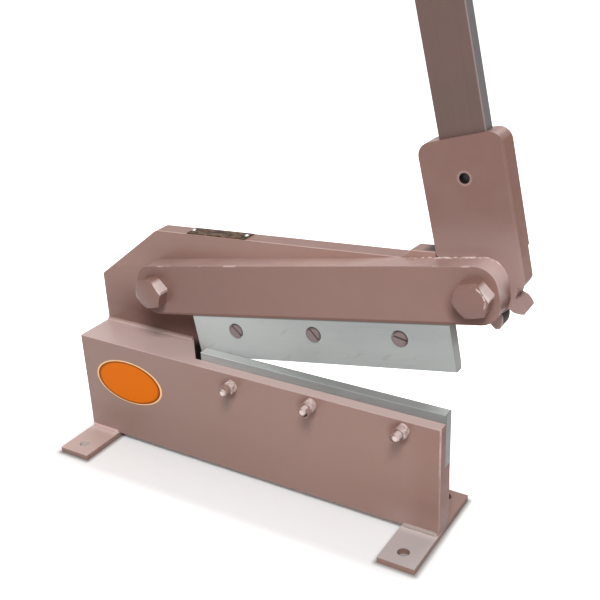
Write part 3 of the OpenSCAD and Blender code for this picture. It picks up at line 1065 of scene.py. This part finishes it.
@dataclass
class EdgeSide:
    """An edge on one flat region, with the region's edges before and after it."""

    FLAT: ClassVar[float] = math.radians(0.8)
    STRAIGHT: ClassVar[float] = math.radians(2.0)
    SMOOTH: ClassVar[float] = math.radians(40.0)
    LEAST_SINE: ClassVar[float] = 0.05
    TOLERANCE: ClassVar[float] = 1.001

    edge: bmesh.types.BMEdge
    before: bmesh.types.BMEdge
    after: bmesh.types.BMEdge
    first_angle: float
    last_angle: float

    @classmethod
    def is_flat(cls, edge: bmesh.types.BMEdge) -> bool:
        """Whether the edge only divides a flat region."""
        return edge.calc_face_angle(0.0) < cls.FLAT

    @classmethod
    def of(cls, loop: bmesh.types.BMLoop) -> "EdgeSide":
        """Finds an edge's neighbours on the region that the loop's face lies in.

        Args:
            loop: The edge's loop on that face.

        Returns:
            The edge and its neighbours, with the region's angle at each end.
        """
        before = loop.link_loop_prev
        while cls.is_flat(before.edge) and before.edge is not loop.edge:
            before = before.link_loop_radial_next.link_loop_prev
        after = loop.link_loop_next
        while cls.is_flat(after.edge) and after.edge is not loop.edge:
            after = after.link_loop_radial_next.link_loop_next
        start, end = loop.vert, loop.link_loop_next.vert
        along = end.co - start.co
        normal = loop.face.normal

        def between(first: Vector, second: Vector) -> float:
            """Angle from the first direction round the normal to the second."""
            return math.atan2(first.cross(second).dot(normal), first.dot(second)) % math.tau

        return cls(
            loop.edge, before.edge, after.edge,
            between(along, before.edge.other_vert(start).co - start.co),
            between(after.edge.other_vert(end).co - end.co, -along),
        )

    def smooth_neighbours(self) -> list[bmesh.types.BMEdge]:
        """Neighbours that go on in nearly the same direction."""
        ends = ((self.before, self.first_angle), (self.after, self.last_angle))
        return [edge for edge, angle in ends if abs(math.pi - angle) < self.SMOOTH]

    def used(self, own: float, other: float, angle: float) -> float:
        """Length of the edge that the rounding takes at one end.

        Args:
            own: Width of this edge's rounding.
            other: Width of the neighbour's rounding.
            angle: Angle between the two edges.

        Returns:
            The length, in metres.
        """
        sine = math.sin(angle)
        if own > 0 and other > 0:
            if abs(math.pi - angle) < self.STRAIGHT:
                return 0.0
            return (other + own * math.cos(angle)) / sine
        return other / max(abs(sine), self.LEAST_SINE)

    def narrow(self, runs: dict[bmesh.types.BMEdge, EdgeRun], room: float) -> bool:
        """Narrows the runs at this edge if they leave it no room.

        Args:
            runs: The run of each rounded edge.
            room: Share of the edge's length that may be used.

        Returns:
            Whether the runs had to be narrowed.
        """
        near = [runs.get(edge) for edge in (self.edge, self.before, self.after)]
        own, before, after = (run.width if run else 0.0 for run in near)
        used = self.used(own, before, self.first_angle) + self.used(own, after, self.last_angle)
        length = self.edge.calc_length() * room
        if used <= length * self.TOLERANCE:
            return False
        for run in {id(run): run for run in near if run}.values():
            run.width *= length / used
        return True


def placed(name: str, mesh: bpy.types.Mesh, finish: bpy.types.Material) -> bpy.types.Object:
    """Puts a mesh into the scene as a piece of one finish.

    Args:
        name: The piece's name.
        mesh: Its mesh.
        finish: Its material.

    Returns:
        The piece.
    """
    mesh.materials.clear()
    mesh.materials.append(finish)
    piece = bpy.data.objects.new(name, mesh)
    bpy.context.scene.collection.objects.link(piece)
    return piece


def rounded_copy(node: str, rounding: Rounding, finish: bpy.types.Material) -> bpy.types.Object:
    """Copies a solid, merges its faces and rounds its edges.

    Args:
        node: The solid's name.
        rounding: How the edges are rounded.
        finish: The new piece's material.

    Returns:
        The new piece.
    """
    same_place, least_length = 2e-6, 1e-6
    same_face, sharp = math.radians(0.7), math.radians(35.0)
    name = node + "_dressed"
    mesh = FRAME["nodes"][node].data.copy()
    mesh.name = name
    work = bmesh.new()
    work.from_mesh(mesh)
    bmesh.ops.remove_doubles(work, verts=work.verts, dist=same_place)
    bmesh.ops.dissolve_limit(
        work, angle_limit=same_face, use_dissolve_boundaries=False, verts=work.verts, edges=work.edges
    )
    bmesh.ops.remove_doubles(work, verts=work.verts, dist=rounding.merge)
    bmesh.ops.dissolve_degenerate(work, dist=least_length, edges=work.edges)
    work.normal_update()
    widths = rounding.widths(work)
    LOG.info("%s: %d edges rounded by %.2f to %.2f mm", name, len(widths),
             min(widths.values(), default=0.0) / MM, max(widths.values(), default=0.0) / MM)
    weights = work.edges.layers.float.new("bevel_weight_edge")
    for edge in work.edges:
        edge[weights] = widths.get(edge, 0.0) / rounding.widest
        edge.smooth = edge in widths or edge.calc_face_angle(0.0) < sharp
    for face in work.faces:
        face.smooth = True
    work.to_mesh(mesh)
    work.free()
    piece = placed(name, mesh, finish)
    bevel = piece.modifiers.new("edges", "BEVEL")
    bevel.limit_method = "WEIGHT"
    bevel.width = rounding.widest
    bevel.segments = rounding.segments
    bevel.harden_normals = True
    bevel.use_clamp_overlap = False
    bevel.loop_slide = False
    return piece


class GeometryTree(NodeTree):
    """A geometry node tree with named inputs."""

    def __init__(self, name: str, sizes: dict[str, float | int]) -> None:
        """Makes the tree and one input for each size.

        Args:
            name: The tree's name.
            sizes: The inputs' names and values.
        """
        super().__init__(bpy.data.node_groups.new(name, "GeometryNodeTree"))
        self.sizes = sizes
        for size, value in sizes.items():
            kind = "NodeSocketInt" if isinstance(value, int) else "NodeSocketFloat"
            self.tree.interface.new_socket(size, in_out="INPUT", socket_type=kind)
        self.tree.interface.new_socket("Geometry", in_out="OUTPUT", socket_type="NodeSocketGeometry")
        self.inputs = self.add("NodeGroupInput", {}, {}).outputs

    def row(self, axis: int, shape: bpy.types.Node, values: dict[object, object]) -> bpy.types.NodeSocket:
        """Puts copies of a shape on Count points of a line, Pitch apart.

        Args:
            axis: Axis along which the line runs.
            shape: Node that makes the shape.
            values: The copies' turn or scale, by the socket's name.

        Returns:
            The copies.
        """
        step = self.add("ShaderNodeCombineXYZ", {}, {axis: self.inputs["Pitch"]})
        line = self.add("GeometryNodeMeshLine", {}, {"Count": self.inputs["Count"], "Offset": step.outputs[0]})
        return self.add("GeometryNodeInstanceOnPoints", {}, {
            "Points": line.outputs[0], "Instance": shape.outputs[0], **values,
        }).outputs[0]

    def finish(self, geometry: bpy.types.NodeSocket, finish: bpy.types.Material, name: str,
               place: Matrix) -> bpy.types.Object:
        """Ends the tree, runs it once and keeps the result as a plain mesh.

        Args:
            geometry: What the tree has made.
            finish: Its material.
            name: The new piece's name.
            place: Where the piece lies.

        Returns:
            The new piece, with its place in its mesh.
        """
        real = self.add("GeometryNodeRealizeInstances", {}, {0: geometry}).outputs[0]
        smooth = self.add("GeometryNodeSetShadeSmooth", {}, {0: real, "Shade Smooth": True}).outputs[0]
        dressed = self.add("GeometryNodeSetMaterial", {}, {0: smooth, "Material": finish}).outputs[0]
        self.add("NodeGroupOutput", {}, {0: dressed})
        carrier = bpy.data.objects.new(name + "_carrier", bpy.data.meshes.new(name + "_carrier"))
        bpy.context.scene.collection.objects.link(carrier)
        modifier = carrier.modifiers.new("tree", "NODES")
        modifier.node_group = self.tree
        for item in self.tree.interface.items_tree:
            if item.in_out == "INPUT":
                modifier[item.identifier] = self.sizes[item.name]
        depsgraph = bpy.context.evaluated_depsgraph_get()
        mesh = bpy.data.meshes.new_from_object(carrier.evaluated_get(depsgraph))
        bpy.data.objects.remove(carrier)
        mesh.name = name
        mesh.transform(place)
        piece = placed(name, mesh, finish)
        for polygon in mesh.polygons:
            polygon.material_index = 0
        return piece


def joined(name: str, pieces: Sequence[bpy.types.Object]) -> bpy.types.Object:
    """Joins pieces of one finish into one.

    Args:
        name: The new piece's name.
        pieces: The pieces, which are used up.

    Returns:
        The joined piece.
    """
    work = bmesh.new()
    finish = pieces[0].data.materials[0]
    for piece in pieces:
        work.from_mesh(piece.data)
        bpy.data.objects.remove(piece)
    mesh = bpy.data.meshes.new(name)
    work.to_mesh(mesh)
    work.free()
    return placed(name, mesh, finish)


@dataclass
class Threads:
    """Rings that stand for a screw thread, along Y."""

    radius: float
    pitch: float
    count: int
    crest_share: float = 0.42
    ring_points: int = 40
    crest_points: int = 6

    def build(self, name: str, start: Vector, finish: bpy.types.Material) -> bpy.types.Object:
        """Builds the rings from one end.

        Args:
            name: The piece's name.
            start: Centre of the first ring.
            finish: Its material.

        Returns:
            The rings.
        """
        tree = GeometryTree(name + "_tree", {
            "Count": self.count, "Pitch": self.pitch, "Radius": self.radius, "Crest": self.pitch * self.crest_share,
        })
        circle, crest = (
            tree.add("GeometryNodeCurvePrimitiveCircle", {}, {"Resolution": points, "Radius": tree.inputs[size]})
            for points, size in ((self.ring_points, "Radius"), (self.crest_points, "Crest"))
        )
        ring = tree.add("GeometryNodeCurveToMesh", {}, {0: circle.outputs[0], 1: crest.outputs[0]})
        rings = tree.row(1, ring, {"Rotation": (math.radians(90.0), 0.0, 0.0)})
        return tree.finish(rings, finish, name, Matrix.Translation(start))


@dataclass
class WeldBead:
    """Run of overlapping weld ripples along X, in the corner between a foot and a plate."""

    length: float
    seed: int
    radius: float = 2.9 * MM
    pitch: float = 1.6 * MM
    inset_share: float = 0.97
    narrowest: tuple[float, float, float] = (0.80, 0.90, 0.90)
    widest: tuple[float, float, float] = (0.95, 1.02, 1.02)

    def build(self, name: str, start: Vector, finish: bpy.types.Material) -> bpy.types.Object:
        """Builds the bead from its left end.

        Args:
            name: The piece's name.
            start: The corner at the left end.
            finish: Its material.

        Returns:
            The bead.
        """
        inset = self.radius * self.inset_share
        tree = GeometryTree(name + "_tree", {
            "Count": int((self.length - 2 * inset) / self.pitch) + 1, "Pitch": self.pitch,
            "Radius": self.radius, "Seed": self.seed,
        })
        ripple = tree.add("GeometryNodeMeshUVSphere", {}, {
            "Segments": 20, "Rings": 12, "Radius": tree.inputs["Radius"],
        })
        jitter = tree.add("FunctionNodeRandomValue", {"data_type": "FLOAT_VECTOR"}, {
            "Min": self.narrowest, "Max": self.widest, "Seed": tree.inputs["Seed"],
        })
        ripples = tree.row(0, ripple, {"Scale": jitter.outputs[0]})
        return tree.finish(ripples, finish, name, Matrix.Translation(start + Vector((inset, 0, 0))))


@dataclass
class Rivets:
    """Two domed rivets on a sloping plate."""

    radius: float = 2.3 * MM
    flatness: float = 0.75

    def build(self, name: str, first: Vector, last: Vector, finish: bpy.types.Material) -> bpy.types.Object:
        """Builds both rivets.

        Args:
            name: The piece's name.
            first: Seat of the first.
            last: Seat of the second.
            finish: Their material.

        Returns:
            The rivets.
        """
        gap = last - first
        tree = GeometryTree(name + "_tree", {"Count": 2, "Pitch": gap.length, "Radius": self.radius})
        dome = tree.add("GeometryNodeMeshUVSphere", {}, {
            "Segments": 28, "Rings": 16, "Radius": tree.inputs["Radius"],
        })
        domes = tree.row(0, dome, {"Scale": (1.0, 1.0, self.flatness)})
        place = Matrix.Translation(first) @ Matrix.Rotation(-math.atan2(gap.z, gap.x), 4, "Y")
        return tree.finish(domes, finish, name, place)


@dataclass
class Label:
    """Thin oval label with a soft edge, on the bed plate's front."""

    centre: Vector = Vector((-141.5, -11.0, 72.0)) * MM
    half_width: float = 42.5 * MM
    half_height: float = 24.0 * MM
    thickness: float = 0.35 * MM
    sunk: float = 0.02 * MM
    points: int = 96

    def build(self, name: str) -> bpy.types.Object:
        """Builds the label.

        Args:
            name: The piece's name.

        Returns:
            The label.
        """
        work = bmesh.new()
        rings = ((1.0, -self.sunk), (1.0, self.thickness * 0.6), (0.992, self.thickness), (0.5, self.thickness))
        turns = [math.tau * step / self.points for step in range(self.points)]
        loops = [
            [
                work.verts.new(self.centre + Vector((
                    math.cos(turn) * self.half_width * share, -height, math.sin(turn) * self.half_height * share,
                )))
                for turn in turns
            ]
            for share, height in rings
        ]
        for outer, inner in zip(loops, loops[1:]):
            for step in range(self.points):
                after = (step + 1) % self.points
                work.faces.new((outer[step], outer[after], inner[after], inner[step]))
        work.faces.new(loops[-1])
        work.faces.new(list(reversed(loops[0])))
        bmesh.ops.recalc_face_normals(work, faces=work.faces)
        mesh = bpy.data.meshes.new(name)
        work.to_mesh(mesh)
        work.free()
        return placed(name, mesh, OvalLabel(self.centre, self.half_width, self.half_height).material())


class Slot(Enum):
    """Material slots of the record."""

    PAINT = "paint"
    BLADE = "blade_steel"
    BAR = "bar_steel"
    BRIGHT = "bright_steel"
    BRASS = "plate_brass"


@dataclass
class SubAssembly:
    """Pieces that ride on one body."""

    body: str
    finishes: dict[Slot, bpy.types.Material]
    thick_paint: bpy.types.Material
    made: list[bpy.types.Object] = field(default_factory=list)

    def keep(self, piece: bpy.types.Object, slot: Slot, *nodes: str) -> None:
        """Fixes a finished piece to its body.

        Args:
            piece: The piece.
            slot: Its material slot, which is not used.
            nodes: The solids that it stands for.
        """
        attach(piece, self.body)
        if nodes:
            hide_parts(*nodes)
        self.made.append(piece)

    def dress(self, node: str, slot: Slot, rounding: Rounding, finish: bpy.types.Material | None = None) -> None:
        """Puts a rounded copy in a solid's place.

        Args:
            node: The solid's name.
            slot: Its material slot.
            rounding: How its edges are rounded.
            finish: Its material, which is the slot's unless given.
        """
        self.keep(rounded_copy(node, rounding, finish or self.finishes[slot]), slot, node)


@dataclass
class Stand(SubAssembly):
    """The fixed frame: plates, feet, welds, lower blade, its screws and the name plate."""

    foot_width: float = 35.0 * MM
    stud_radius: float = 4.0 * MM
    stud_pitch: float = 1.25 * MM
    below_crest: float = 0.2 * MM
    bare_tip: float = 0.8 * MM
    rivet_radius: float = 1.7 * MM
    rivet_height: float = 1.6 * MM
    rivet_sunk: float = 0.2 * MM
    bed_corner: float = 1.8 * MM
    bed_rim: float = 1.0 * MM
    bed_depths: tuple[float, float] = (-10.0 * MM, 10.0 * MM)
    spacer_rim: float = 0.6 * MM
    spacer_depths: tuple[float, float] = (10.4 * MM, 32.8 * MM)
    spacer_end: float = -60.0 * MM
    frame_rim: float = 1.7 * MM
    sector_rim: float = 0.6 * MM
    sector_reach: tuple[float, float] = (292.0 * MM, 309.0 * MM)
    foot_corner: float = 2.4 * MM
    foot_rim: float = 0.8 * MM

    def build(self) -> None:
        """Builds every piece of the frame."""
        plate_paint = Enamel(
            "gap_enamel", shaded=srgb(104, 56, 42), deep_shade=gap_painted_shade, dust_and_sheen=bed_dust_and_sheen, painted_light=bed_highlights, shade=bed_shade
        ).material()
        column_paint = Enamel(
            "column_enamel", high=srgb(150, 117, 107), dusty_sheen=srgb(184, 148, 138), painted_light_colour=srgb(214, 190, 184),
            shaded=srgb(86, 44, 33), deep_shade=column_painted_shade, dust_and_sheen=column_painted_light, painted_light=column_edge_highlight, shade=column_shade,
        ).material()
        self.dress("bed_plate", Slot.PAINT, Rounding(self.bed_corner, 3, self.bed_edge), plate_paint)
        self.dress("spacer_block", Slot.PAINT, Rounding(self.spacer_rim, 3, self.spacer_edge), plate_paint)
        self.dress("frame_plate", Slot.PAINT, Rounding(self.frame_rim, 4, self.frame_edge), column_paint)
        for node, dusty_sheen in (("left_foot", srgb(197, 171, 163)), ("right_foot", srgb(184, 173, 171))):
            foot_paint = Enamel(
                node + "_enamel", dusty_sheen=dusty_sheen, painted_light_colour=srgb(226, 211, 206), shaded=srgb(98, 76, 66),
                dust_and_sheen=foot_dust_and_sheen, painted_light=foot_painted_light, shade=foot_shade,
            ).material()
            self.dress(node, Slot.PAINT, Rounding(self.foot_corner, 3, self.foot_edge), foot_paint)
        self.dress("plate_weld", Slot.PAINT, Rounding(0.3 * MM, 2, least_turn=math.radians(170.0)), plate_paint)
        for node, width in (("lower_blade_screws", 0.6), ("lower_blade_washers", 0.4), ("lower_blade_nuts", 0.5)):
            self.dress(node, Slot.PAINT, Rounding(width * MM, 3, least_turn=math.radians(40.0)), self.thick_paint)
        # Painted light towards the left end, painted shade on the front and right end.
        steel = GroundSteel(
            "lower_blade_steel", 0.0, srgb(174, 178, 176), srgb(156, 161, 160), srgb(98, 101, 102),
            srgb(232, 234, 232), fade=0.8, shade=lower_blade_shade,
        ).material()
        self.dress("lower_blade", Slot.BLADE, Rounding(0.12 * MM, 2), steel)
        self.dress("name_plate", Slot.BRASS, Rounding(0.2 * MM, 2))
        self.build_welds()
        self.build_threads()
        self.build_rivets()
        self.keep(Label().build("oval_label"), Slot.PAINT)

    def bed_edge(self, facts: EdgeFacts) -> float:
        """Width of the rounding of a bed plate edge: widest up its front corners, none at the spacer.

        Args:
            facts: The edge.

        Returns:
            The width, in metres.
        """
        front, back = self.bed_depths
        if facts.runs_along(2) and facts.middle.y < front:
            return self.bed_corner
        at_spacer = facts.middle.y > back and facts.middle.x < self.spacer_end
        return 0.0 if at_spacer else self.bed_rim

    def spacer_edge(self, facts: EdgeFacts) -> float:
        """Width of the rounding of a spacer edge: none where it meets the plates."""
        front, back = self.spacer_depths
        return self.spacer_rim if front <= facts.middle.y <= back else 0.0

    def frame_edge(self, facts: EdgeFacts) -> float:
        """Width of the rounding of a frame plate edge: slight at the sector's teeth."""
        near, far = self.sector_reach
        return self.sector_rim if near < math.hypot(*JAW.of_point(facts.middle)) < far else self.frame_rim

    def foot_edge(self, facts: EdgeFacts) -> float:
        """Width of the rounding of a foot's edge: widest at its upright corners."""
        return self.foot_corner if facts.runs_along(2) else self.foot_rim

    def build_welds(self) -> None:
        """Builds the weld beads where the plates stand on the feet."""
        paint = Enamel(
            "weld_enamel", dusty_sheen=srgb(205, 175, 169), shaded=srgb(140, 138, 132), dust_and_sheen=weld_dust_and_sheen, shade=weld_shade
        ).material()
        foot_low, foot_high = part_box("left_foot")
        _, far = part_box("right_foot")
        bed_low, bed_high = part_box("bed_plate")
        _, frame_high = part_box("frame_plate")
        left, right = foot_low.x, far.x - self.foot_width
        corners = ((left, bed_low.y), (right, bed_low.y), (left, frame_high.y), (right, bed_high.y))
        beads = [
            WeldBead(self.foot_width, number + 1).build(f"weld_{number}", Vector((x, y, foot_high.z)), paint)
            for number, (x, y) in enumerate(corners)
        ]
        self.keep(joined("weld_beads", beads), Slot.PAINT, "foot_welds")

    def build_threads(self) -> None:
        """Builds the threads of the blade screws' free ends."""
        low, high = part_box("lower_blade_screws")
        nut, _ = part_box("lower_blade_nuts")
        half_head = (high.z - low.z) / 2
        first, last = low.x + half_head, high.x - half_head
        count = int((nut.y - low.y) / self.stud_pitch)
        threads = Threads(self.stud_radius - self.below_crest, self.stud_pitch, count)
        rings = [
            threads.build(
                f"stud_{step}",
                Vector((first + (last - first) * step / 2, low.y + self.bare_tip, (low.z + high.z) / 2)),
                self.finishes[Slot.PAINT],
            )
            for step in range(3)
        ]
        self.keep(joined("stud_threads", rings), Slot.PAINT)

    def build_rivets(self) -> None:
        """Builds the name plate's two rivets."""
        low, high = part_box("name_plate_rivets")
        mid = (low.y + high.y) / 2
        first = Vector((low.x + self.rivet_radius, mid, low.z + self.rivet_sunk))
        last = Vector((high.x - self.rivet_radius, mid, high.z - self.rivet_height))
        rivets = Rivets().build("plate_rivets", first, last, self.finishes[Slot.BRIGHT])
        self.keep(rivets, Slot.BRIGHT, "name_plate_rivets")


@dataclass
class Jaw(SubAssembly):
    """The swinging jaw: strap, blade, rear link and both big bolts."""

    bolt_radius: float = 9.5 * MM
    ring_pitch: float = 2.0 * MM
    ring_count: int = 2
    first_ring: float = 3.2 * MM
    below_crest: float = 0.4 * MM
    strap_rim: float = 2.2 * MM
    slight_rim: float = 0.5 * MM
    hole_reach: float = 12.0 * MM
    seat_top: float = -26.0 * MM

    def build(self) -> None:
        """Builds every piece of the jaw."""
        strap_paint = Enamel(
            "strap_enamel", dusty_sheen=srgb(206, 180, 175), painted_light_colour=srgb(228, 208, 203), dust_and_sheen=strap_painted_light, painted_light=strap_highlights,
            shaded=srgb(86, 50, 40), shade=strap_shade,
        ).material()
        self.dress("jaw", Slot.PAINT, Rounding(self.strap_rim, 4, self.strap_edge), strap_paint)
        self.dress("rear_link", Slot.PAINT, Rounding(1.5 * MM, 3))
        # Painted light towards the left end, painted shade on the right end and under the strap.
        steel = GroundSteel(
            "upper_blade_steel", JAW.lean, srgb(152, 155, 153), srgb(142, 146, 145), dark=srgb(74, 62, 58),
            light=srgb(181, 183, 182), fade=0.7, metal=0.35, roughness=0.5, shade=upper_blade_shade,
        ).material()
        self.dress("upper_blade", Slot.BLADE, Rounding(0.3 * MM, 2), steel)
        screw_paint = Enamel(
            "screw_enamel", srgb(132, 114, 114), srgb(140, 120, 118), srgb(124, 108, 108), srgb(128, 110, 110),
            shaded=srgb(44, 36, 34), shade=screw_shade,
        ).material()
        self.dress("upper_blade_screws", Slot.PAINT, Rounding(0.3 * MM, 2), screw_paint)
        fastener = Rounding(0.8 * MM, 3, least_turn=math.radians(40.0))
        for place in ("pivot", "pinion"):
            self.dress(place + "_bolt", Slot.PAINT, fastener, self.thick_paint)
            self.dress(place + "_nut", Slot.PAINT, fastener, self.thick_paint)
            self.dress(place + "_washer", Slot.BRIGHT, Rounding(0.4 * MM, 2))
            self.dress(place + "_sleeve", Slot.BRIGHT, Rounding(0.3 * MM, 2))
        self.build_threads()

    def strap_edge(self, facts: EdgeFacts) -> float:
        """Width of the rounding of a jaw edge: full on the strap, slight round the holes and at the blade's seat.

        Args:
            facts: The edge.

        Returns:
            The width, in metres.
        """
        along, up = JAW.of_point(facts.middle)
        reach = min(math.hypot(along - hole, up) for hole in (0.0, PINION_ALONG_JAW))
        return self.slight_rim if reach < self.hole_reach or up < self.seat_top else self.strap_rim

    def build_threads(self) -> None:
        """Builds the threads of both bolts' free ends."""
        threads = Threads(self.bolt_radius - self.below_crest, self.ring_pitch, self.ring_count)
        rings = []
        for place, centre in (("pivot", PIVOT), ("pinion", PINION)):
            _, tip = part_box(place + "_bolt")
            start = Vector((centre.x, tip.y - self.first_ring, centre.z))
            rings.append(threads.build(place + "_rings", start, self.finishes[Slot.PAINT]))
        self.keep(joined("bolt_threads", rings), Slot.PAINT)


@dataclass
class Lever(SubAssembly):
    """The lever: cast socket with the pinion's teeth, and the bar."""

    socket_rim: float = 3.4 * MM
    tooth_rim: float = 0.9 * MM
    tooth_tip: float = 1.8 * MM
    hole_rim: float = 0.6 * MM
    bore_rim: float = 0.4 * MM
    bar_rim: float = 1.8 * MM
    bore_reach: float = 14.0 * MM
    tip_reach: float = 34.0 * MM
    set_screw_reach: float = 6.0 * MM
    teeth_side: float = 28.0 * MM
    teeth_heights: tuple[float, float] = (-3.4 * MM, 24.0 * MM)
    slot_side: float = 24.0 * MM
    slot_floor: float = 31.0 * MM
    slot_depths: tuple[float, float] = (35.0 * MM, 50.5 * MM)

    def build(self) -> None:
        """Builds every piece of the lever."""
        # Socket paint with painted black shade on the pinion's lower teeth and in the set screw's hole.
        socket_paint = Enamel(
            "shaded_socket_enamel", srgb(154, 124, 118), srgb(156, 126, 119), srgb(150, 123, 117), srgb(130, 98, 90),
            (0.235, 0.300), shaded=srgb(120, 68, 44), shine=0.1, deep_shade=pinion_painted_shade,
            dust_and_sheen=casting_pale_low, painted_light=casting_highlight_and_ring, shade=casting_shade,
        ).material()
        self.dress("lever_socket", Slot.PAINT, Rounding(self.socket_rim, 4, self.socket_edge, merge=0.3 * MM), socket_paint)
        self.dress("lever_bar", Slot.BAR, Rounding(self.bar_rim, 3))

    def socket_edge(self, facts: EdgeFacts) -> float:
        """Width of the rounding of a socket edge: full round the socket, slight at the teeth and the holes.

        Args:
            facts: The edge.

        Returns:
            The width, in metres.
        """
        across, along = LEVER.of_point(facts.middle)
        reach = math.hypot(across, along)
        if reach < self.bore_reach:
            return self.bore_rim
        front, back = self.slot_depths
        in_slot = abs(across) < self.slot_side and along > self.slot_floor and front < facts.middle.y < back
        if in_slot or math.hypot(across - SET_SCREW[0], along - SET_SCREW[1]) < self.set_screw_reach:
            return self.hole_rim
        low, high = self.teeth_heights
        if along < low or (across < self.teeth_side and along < high):
            return self.tooth_tip if reach > self.tip_reach and facts.runs_along(1) else self.tooth_rim
        return self.socket_rim


@dataclass
class Studio:
    """Camera, floor, sky and lamps."""

    camera_place: tuple[float, float, float] = (0.4627, -0.6404, 0.5405)
    azimuth: float = math.radians(32.334)
    elevation: float = math.radians(24.448)
    roll: float = math.radians(-2.593)
    lens: float = 57.28
    sensor: float = 36.0
    shift: tuple[float, float] = (0.0058, 0.0060)
    floor_colour: tuple[float, ...] = (0.80, 0.80, 0.80, 1.0)
    # Colour of the painted contact shadow round and under the feet.
    painted_shadow_colour: tuple[float, ...] = (0.34, 0.33, 0.32, 1.0)
    floor_half: float = 12.0
    foot_sides: tuple[float, float] = (0.165, 0.200)
    foot_ends: tuple[float, float] = (-0.061, 0.056)
    # Reach of that painted contact shadow.
    painted_shadow_reach: float = 0.006
    shadow_reach: float = 0.045
    sky_light: float = 0.16
    aim: Vector = Vector((0.05, 0.02, 0.16))

    def build(self) -> None:
        """Builds the studio."""
        self.build_camera()
        self.build_floor()
        self.build_sky()
        self.build_lamps()

    def build_camera(self) -> None:
        """Places the camera at the photograph's viewing angle."""
        cos_a, sin_a = math.cos(self.azimuth), math.sin(self.azimuth)
        cos_e, sin_e = math.cos(self.elevation), math.sin(self.elevation)
        back = Vector((sin_a * cos_e, -cos_a * cos_e, sin_e))
        right = Vector((cos_a, sin_a, 0.0))
        up = back.cross(right)
        cos_r, sin_r = math.cos(self.roll), math.sin(self.roll)
        axes = (cos_r * right + sin_r * up, -sin_r * right + cos_r * up, back)
        data = bpy.data.cameras.new("camera")
        data.lens = self.lens
        data.sensor_width = self.sensor
        data.shift_x, data.shift_y = self.shift
        data.clip_start, data.clip_end = 0.01, 50.0
        camera = bpy.data.objects.new("camera", data)
        camera.matrix_world = Matrix.Translation(self.camera_place) @ Matrix(axes).transposed().to_4x4()
        bpy.context.scene.collection.objects.link(camera)
        bpy.context.scene.camera = camera

    @staticmethod
    def seen_share(nodes: NodeTree) -> Value:
        """Tells the rays that an eye may follow from the others.

        Args:
            nodes: The tree that asks.

        Returns:
            1 for rays from the camera, a reflection or a clear surface, and 0 for the rest.
        """
        path = nodes.add("ShaderNodeLightPath", {}, {})
        return largest([
            Value(nodes, path, name) for name in ("Is Camera Ray", "Is Glossy Ray", "Is Transmission Ray")
        ])

    def build_floor(self) -> None:
        """Builds the white floor, which keeps the object's shadow and has a painted contact shadow round the feet and
        under them.
        """
        graph = Graph("white_floor")
        across, depth, _ = graph.parts()
        (inner, outer), (front, back) = self.foot_sides, self.foot_ends
        side = across.at_least(0.0 - across)
        beside = (side - outer).at_least(0.0)
        beyond = (depth - back).at_least(front - depth).at_least(0.0)
        # Painted contact shadow round and under the feet.
        outside_painted_shadow = distance(beside.at_least(inner - side), beyond).ramp(0.0, self.painted_shadow_reach)
        away = distance(beside, beyond).ramp(0.0, self.shadow_reach) * 0.90 + 0.10
        clear = 1.0 - side.ramp(inner - 0.001, inner + 0.001) * beside.at_least(beyond).fade(0.0, 0.0005)
        colour = graph.blend(outside_painted_shadow, self.painted_shadow_colour, self.floor_colour)
        diffuse = graph.add("ShaderNodeBsdfDiffuse", {}, {"Color": colour})
        seen = self.seen_share(graph) * away * clear * outside_painted_shadow
        glow = graph.add("ShaderNodeEmission", {}, {"Color": WHITE, "Strength": seen})
        both = graph.add("ShaderNodeAddShader", {}, {0: diffuse.outputs[0], 1: glow.outputs[0]})
        graph.add("ShaderNodeOutputMaterial", {}, {"Surface": both.outputs[0]})
        half = self.floor_half
        mesh = bpy.data.meshes.new("floor")
        mesh.from_pydata([(-half, -half, 0), (half, -half, 0), (half, half, 0), (-half, half, 0)], [],
                         [(0, 1, 2, 3)])
        floor = placed("floor", mesh, graph.material)

    def build_sky(self) -> None:
        """Builds the white surroundings: white to the eye, softer as a light."""
        world = bpy.data.worlds.new("white_room")
        world.use_nodes = True
        nodes = NodeTree(world.node_tree)
        level = nodes.add("ShaderNodeMapRange", {}, {0: self.seen_share(nodes), 3: self.sky_light, 4: 1.0})
        light = nodes.add("ShaderNodeBackground", {}, {0: WHITE, 1: level.outputs[0]})
        nodes.add("ShaderNodeOutputWorld", {}, {0: light.outputs[0]})
        bpy.context.scene.world = world

    def build_lamps(self) -> None:
        """Places the soft lamps: one above, a key at the front, a fill at the left and one behind."""
        for name, place, size, power in (
            ("overhead", (-0.10, 0.80, 1.7), 1.4, 13.0),
            ("key", (0.77, -1.20, 2.1), 0.8, 50.0),
            ("fill", (-0.9, -1.7, 0.9), 1.2, 3.0),
            ("rim", (0.25, 1.20, 1.15), 0.6, 4.0),
        ):
            data = bpy.data.lights.new(name, "AREA")
            data.shape = "SQUARE"
            data.size = size
            data.energy = power
            lamp = bpy.data.objects.new(name, data)
            lamp.location = place
            lamp.rotation_euler = (self.aim - Vector(place)).to_track_quat("-Z", "Y").to_euler()
            bpy.context.scene.collection.objects.link(lamp)


def main() -> None:
    logging.basicConfig(level=logging.INFO, format="%(message)s")
    bpy.context.scene.view_settings.view_transform = "Standard"
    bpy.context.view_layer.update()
    Studio().build()
    finishes = {
        Slot.PAINT: Enamel().material(),
        Slot.BLADE: GroundSteel("ground_steel", 0.0).material(),
        Slot.BAR: LeverPaint().material(),
        Slot.BRIGHT: TurnedSteel().material(),
        Slot.BRASS: AgedBrass().material(),
    }
    thick = Enamel("thick_enamel", srgb(138, 105, 96), srgb(142, 108, 99), srgb(134, 103, 95),
                   srgb(130, 96, 87), painted_light_colour=srgb(232, 214, 210), roughness=0.34, coat=0.2,
                   painted_light=fastener_highlights, shade=fastener_shade).material()
    for part in (Stand("frame", finishes, thick), Jaw("jaw", finishes, thick), Lever("lever", finishes, thick)):
        part.build()
        for piece in part.made:
            LOG.info("%s rides on %s with %d faces", piece.name, part.body, len(piece.data.polygons))


if __name__ == "__main__":
    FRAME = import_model()
    main()
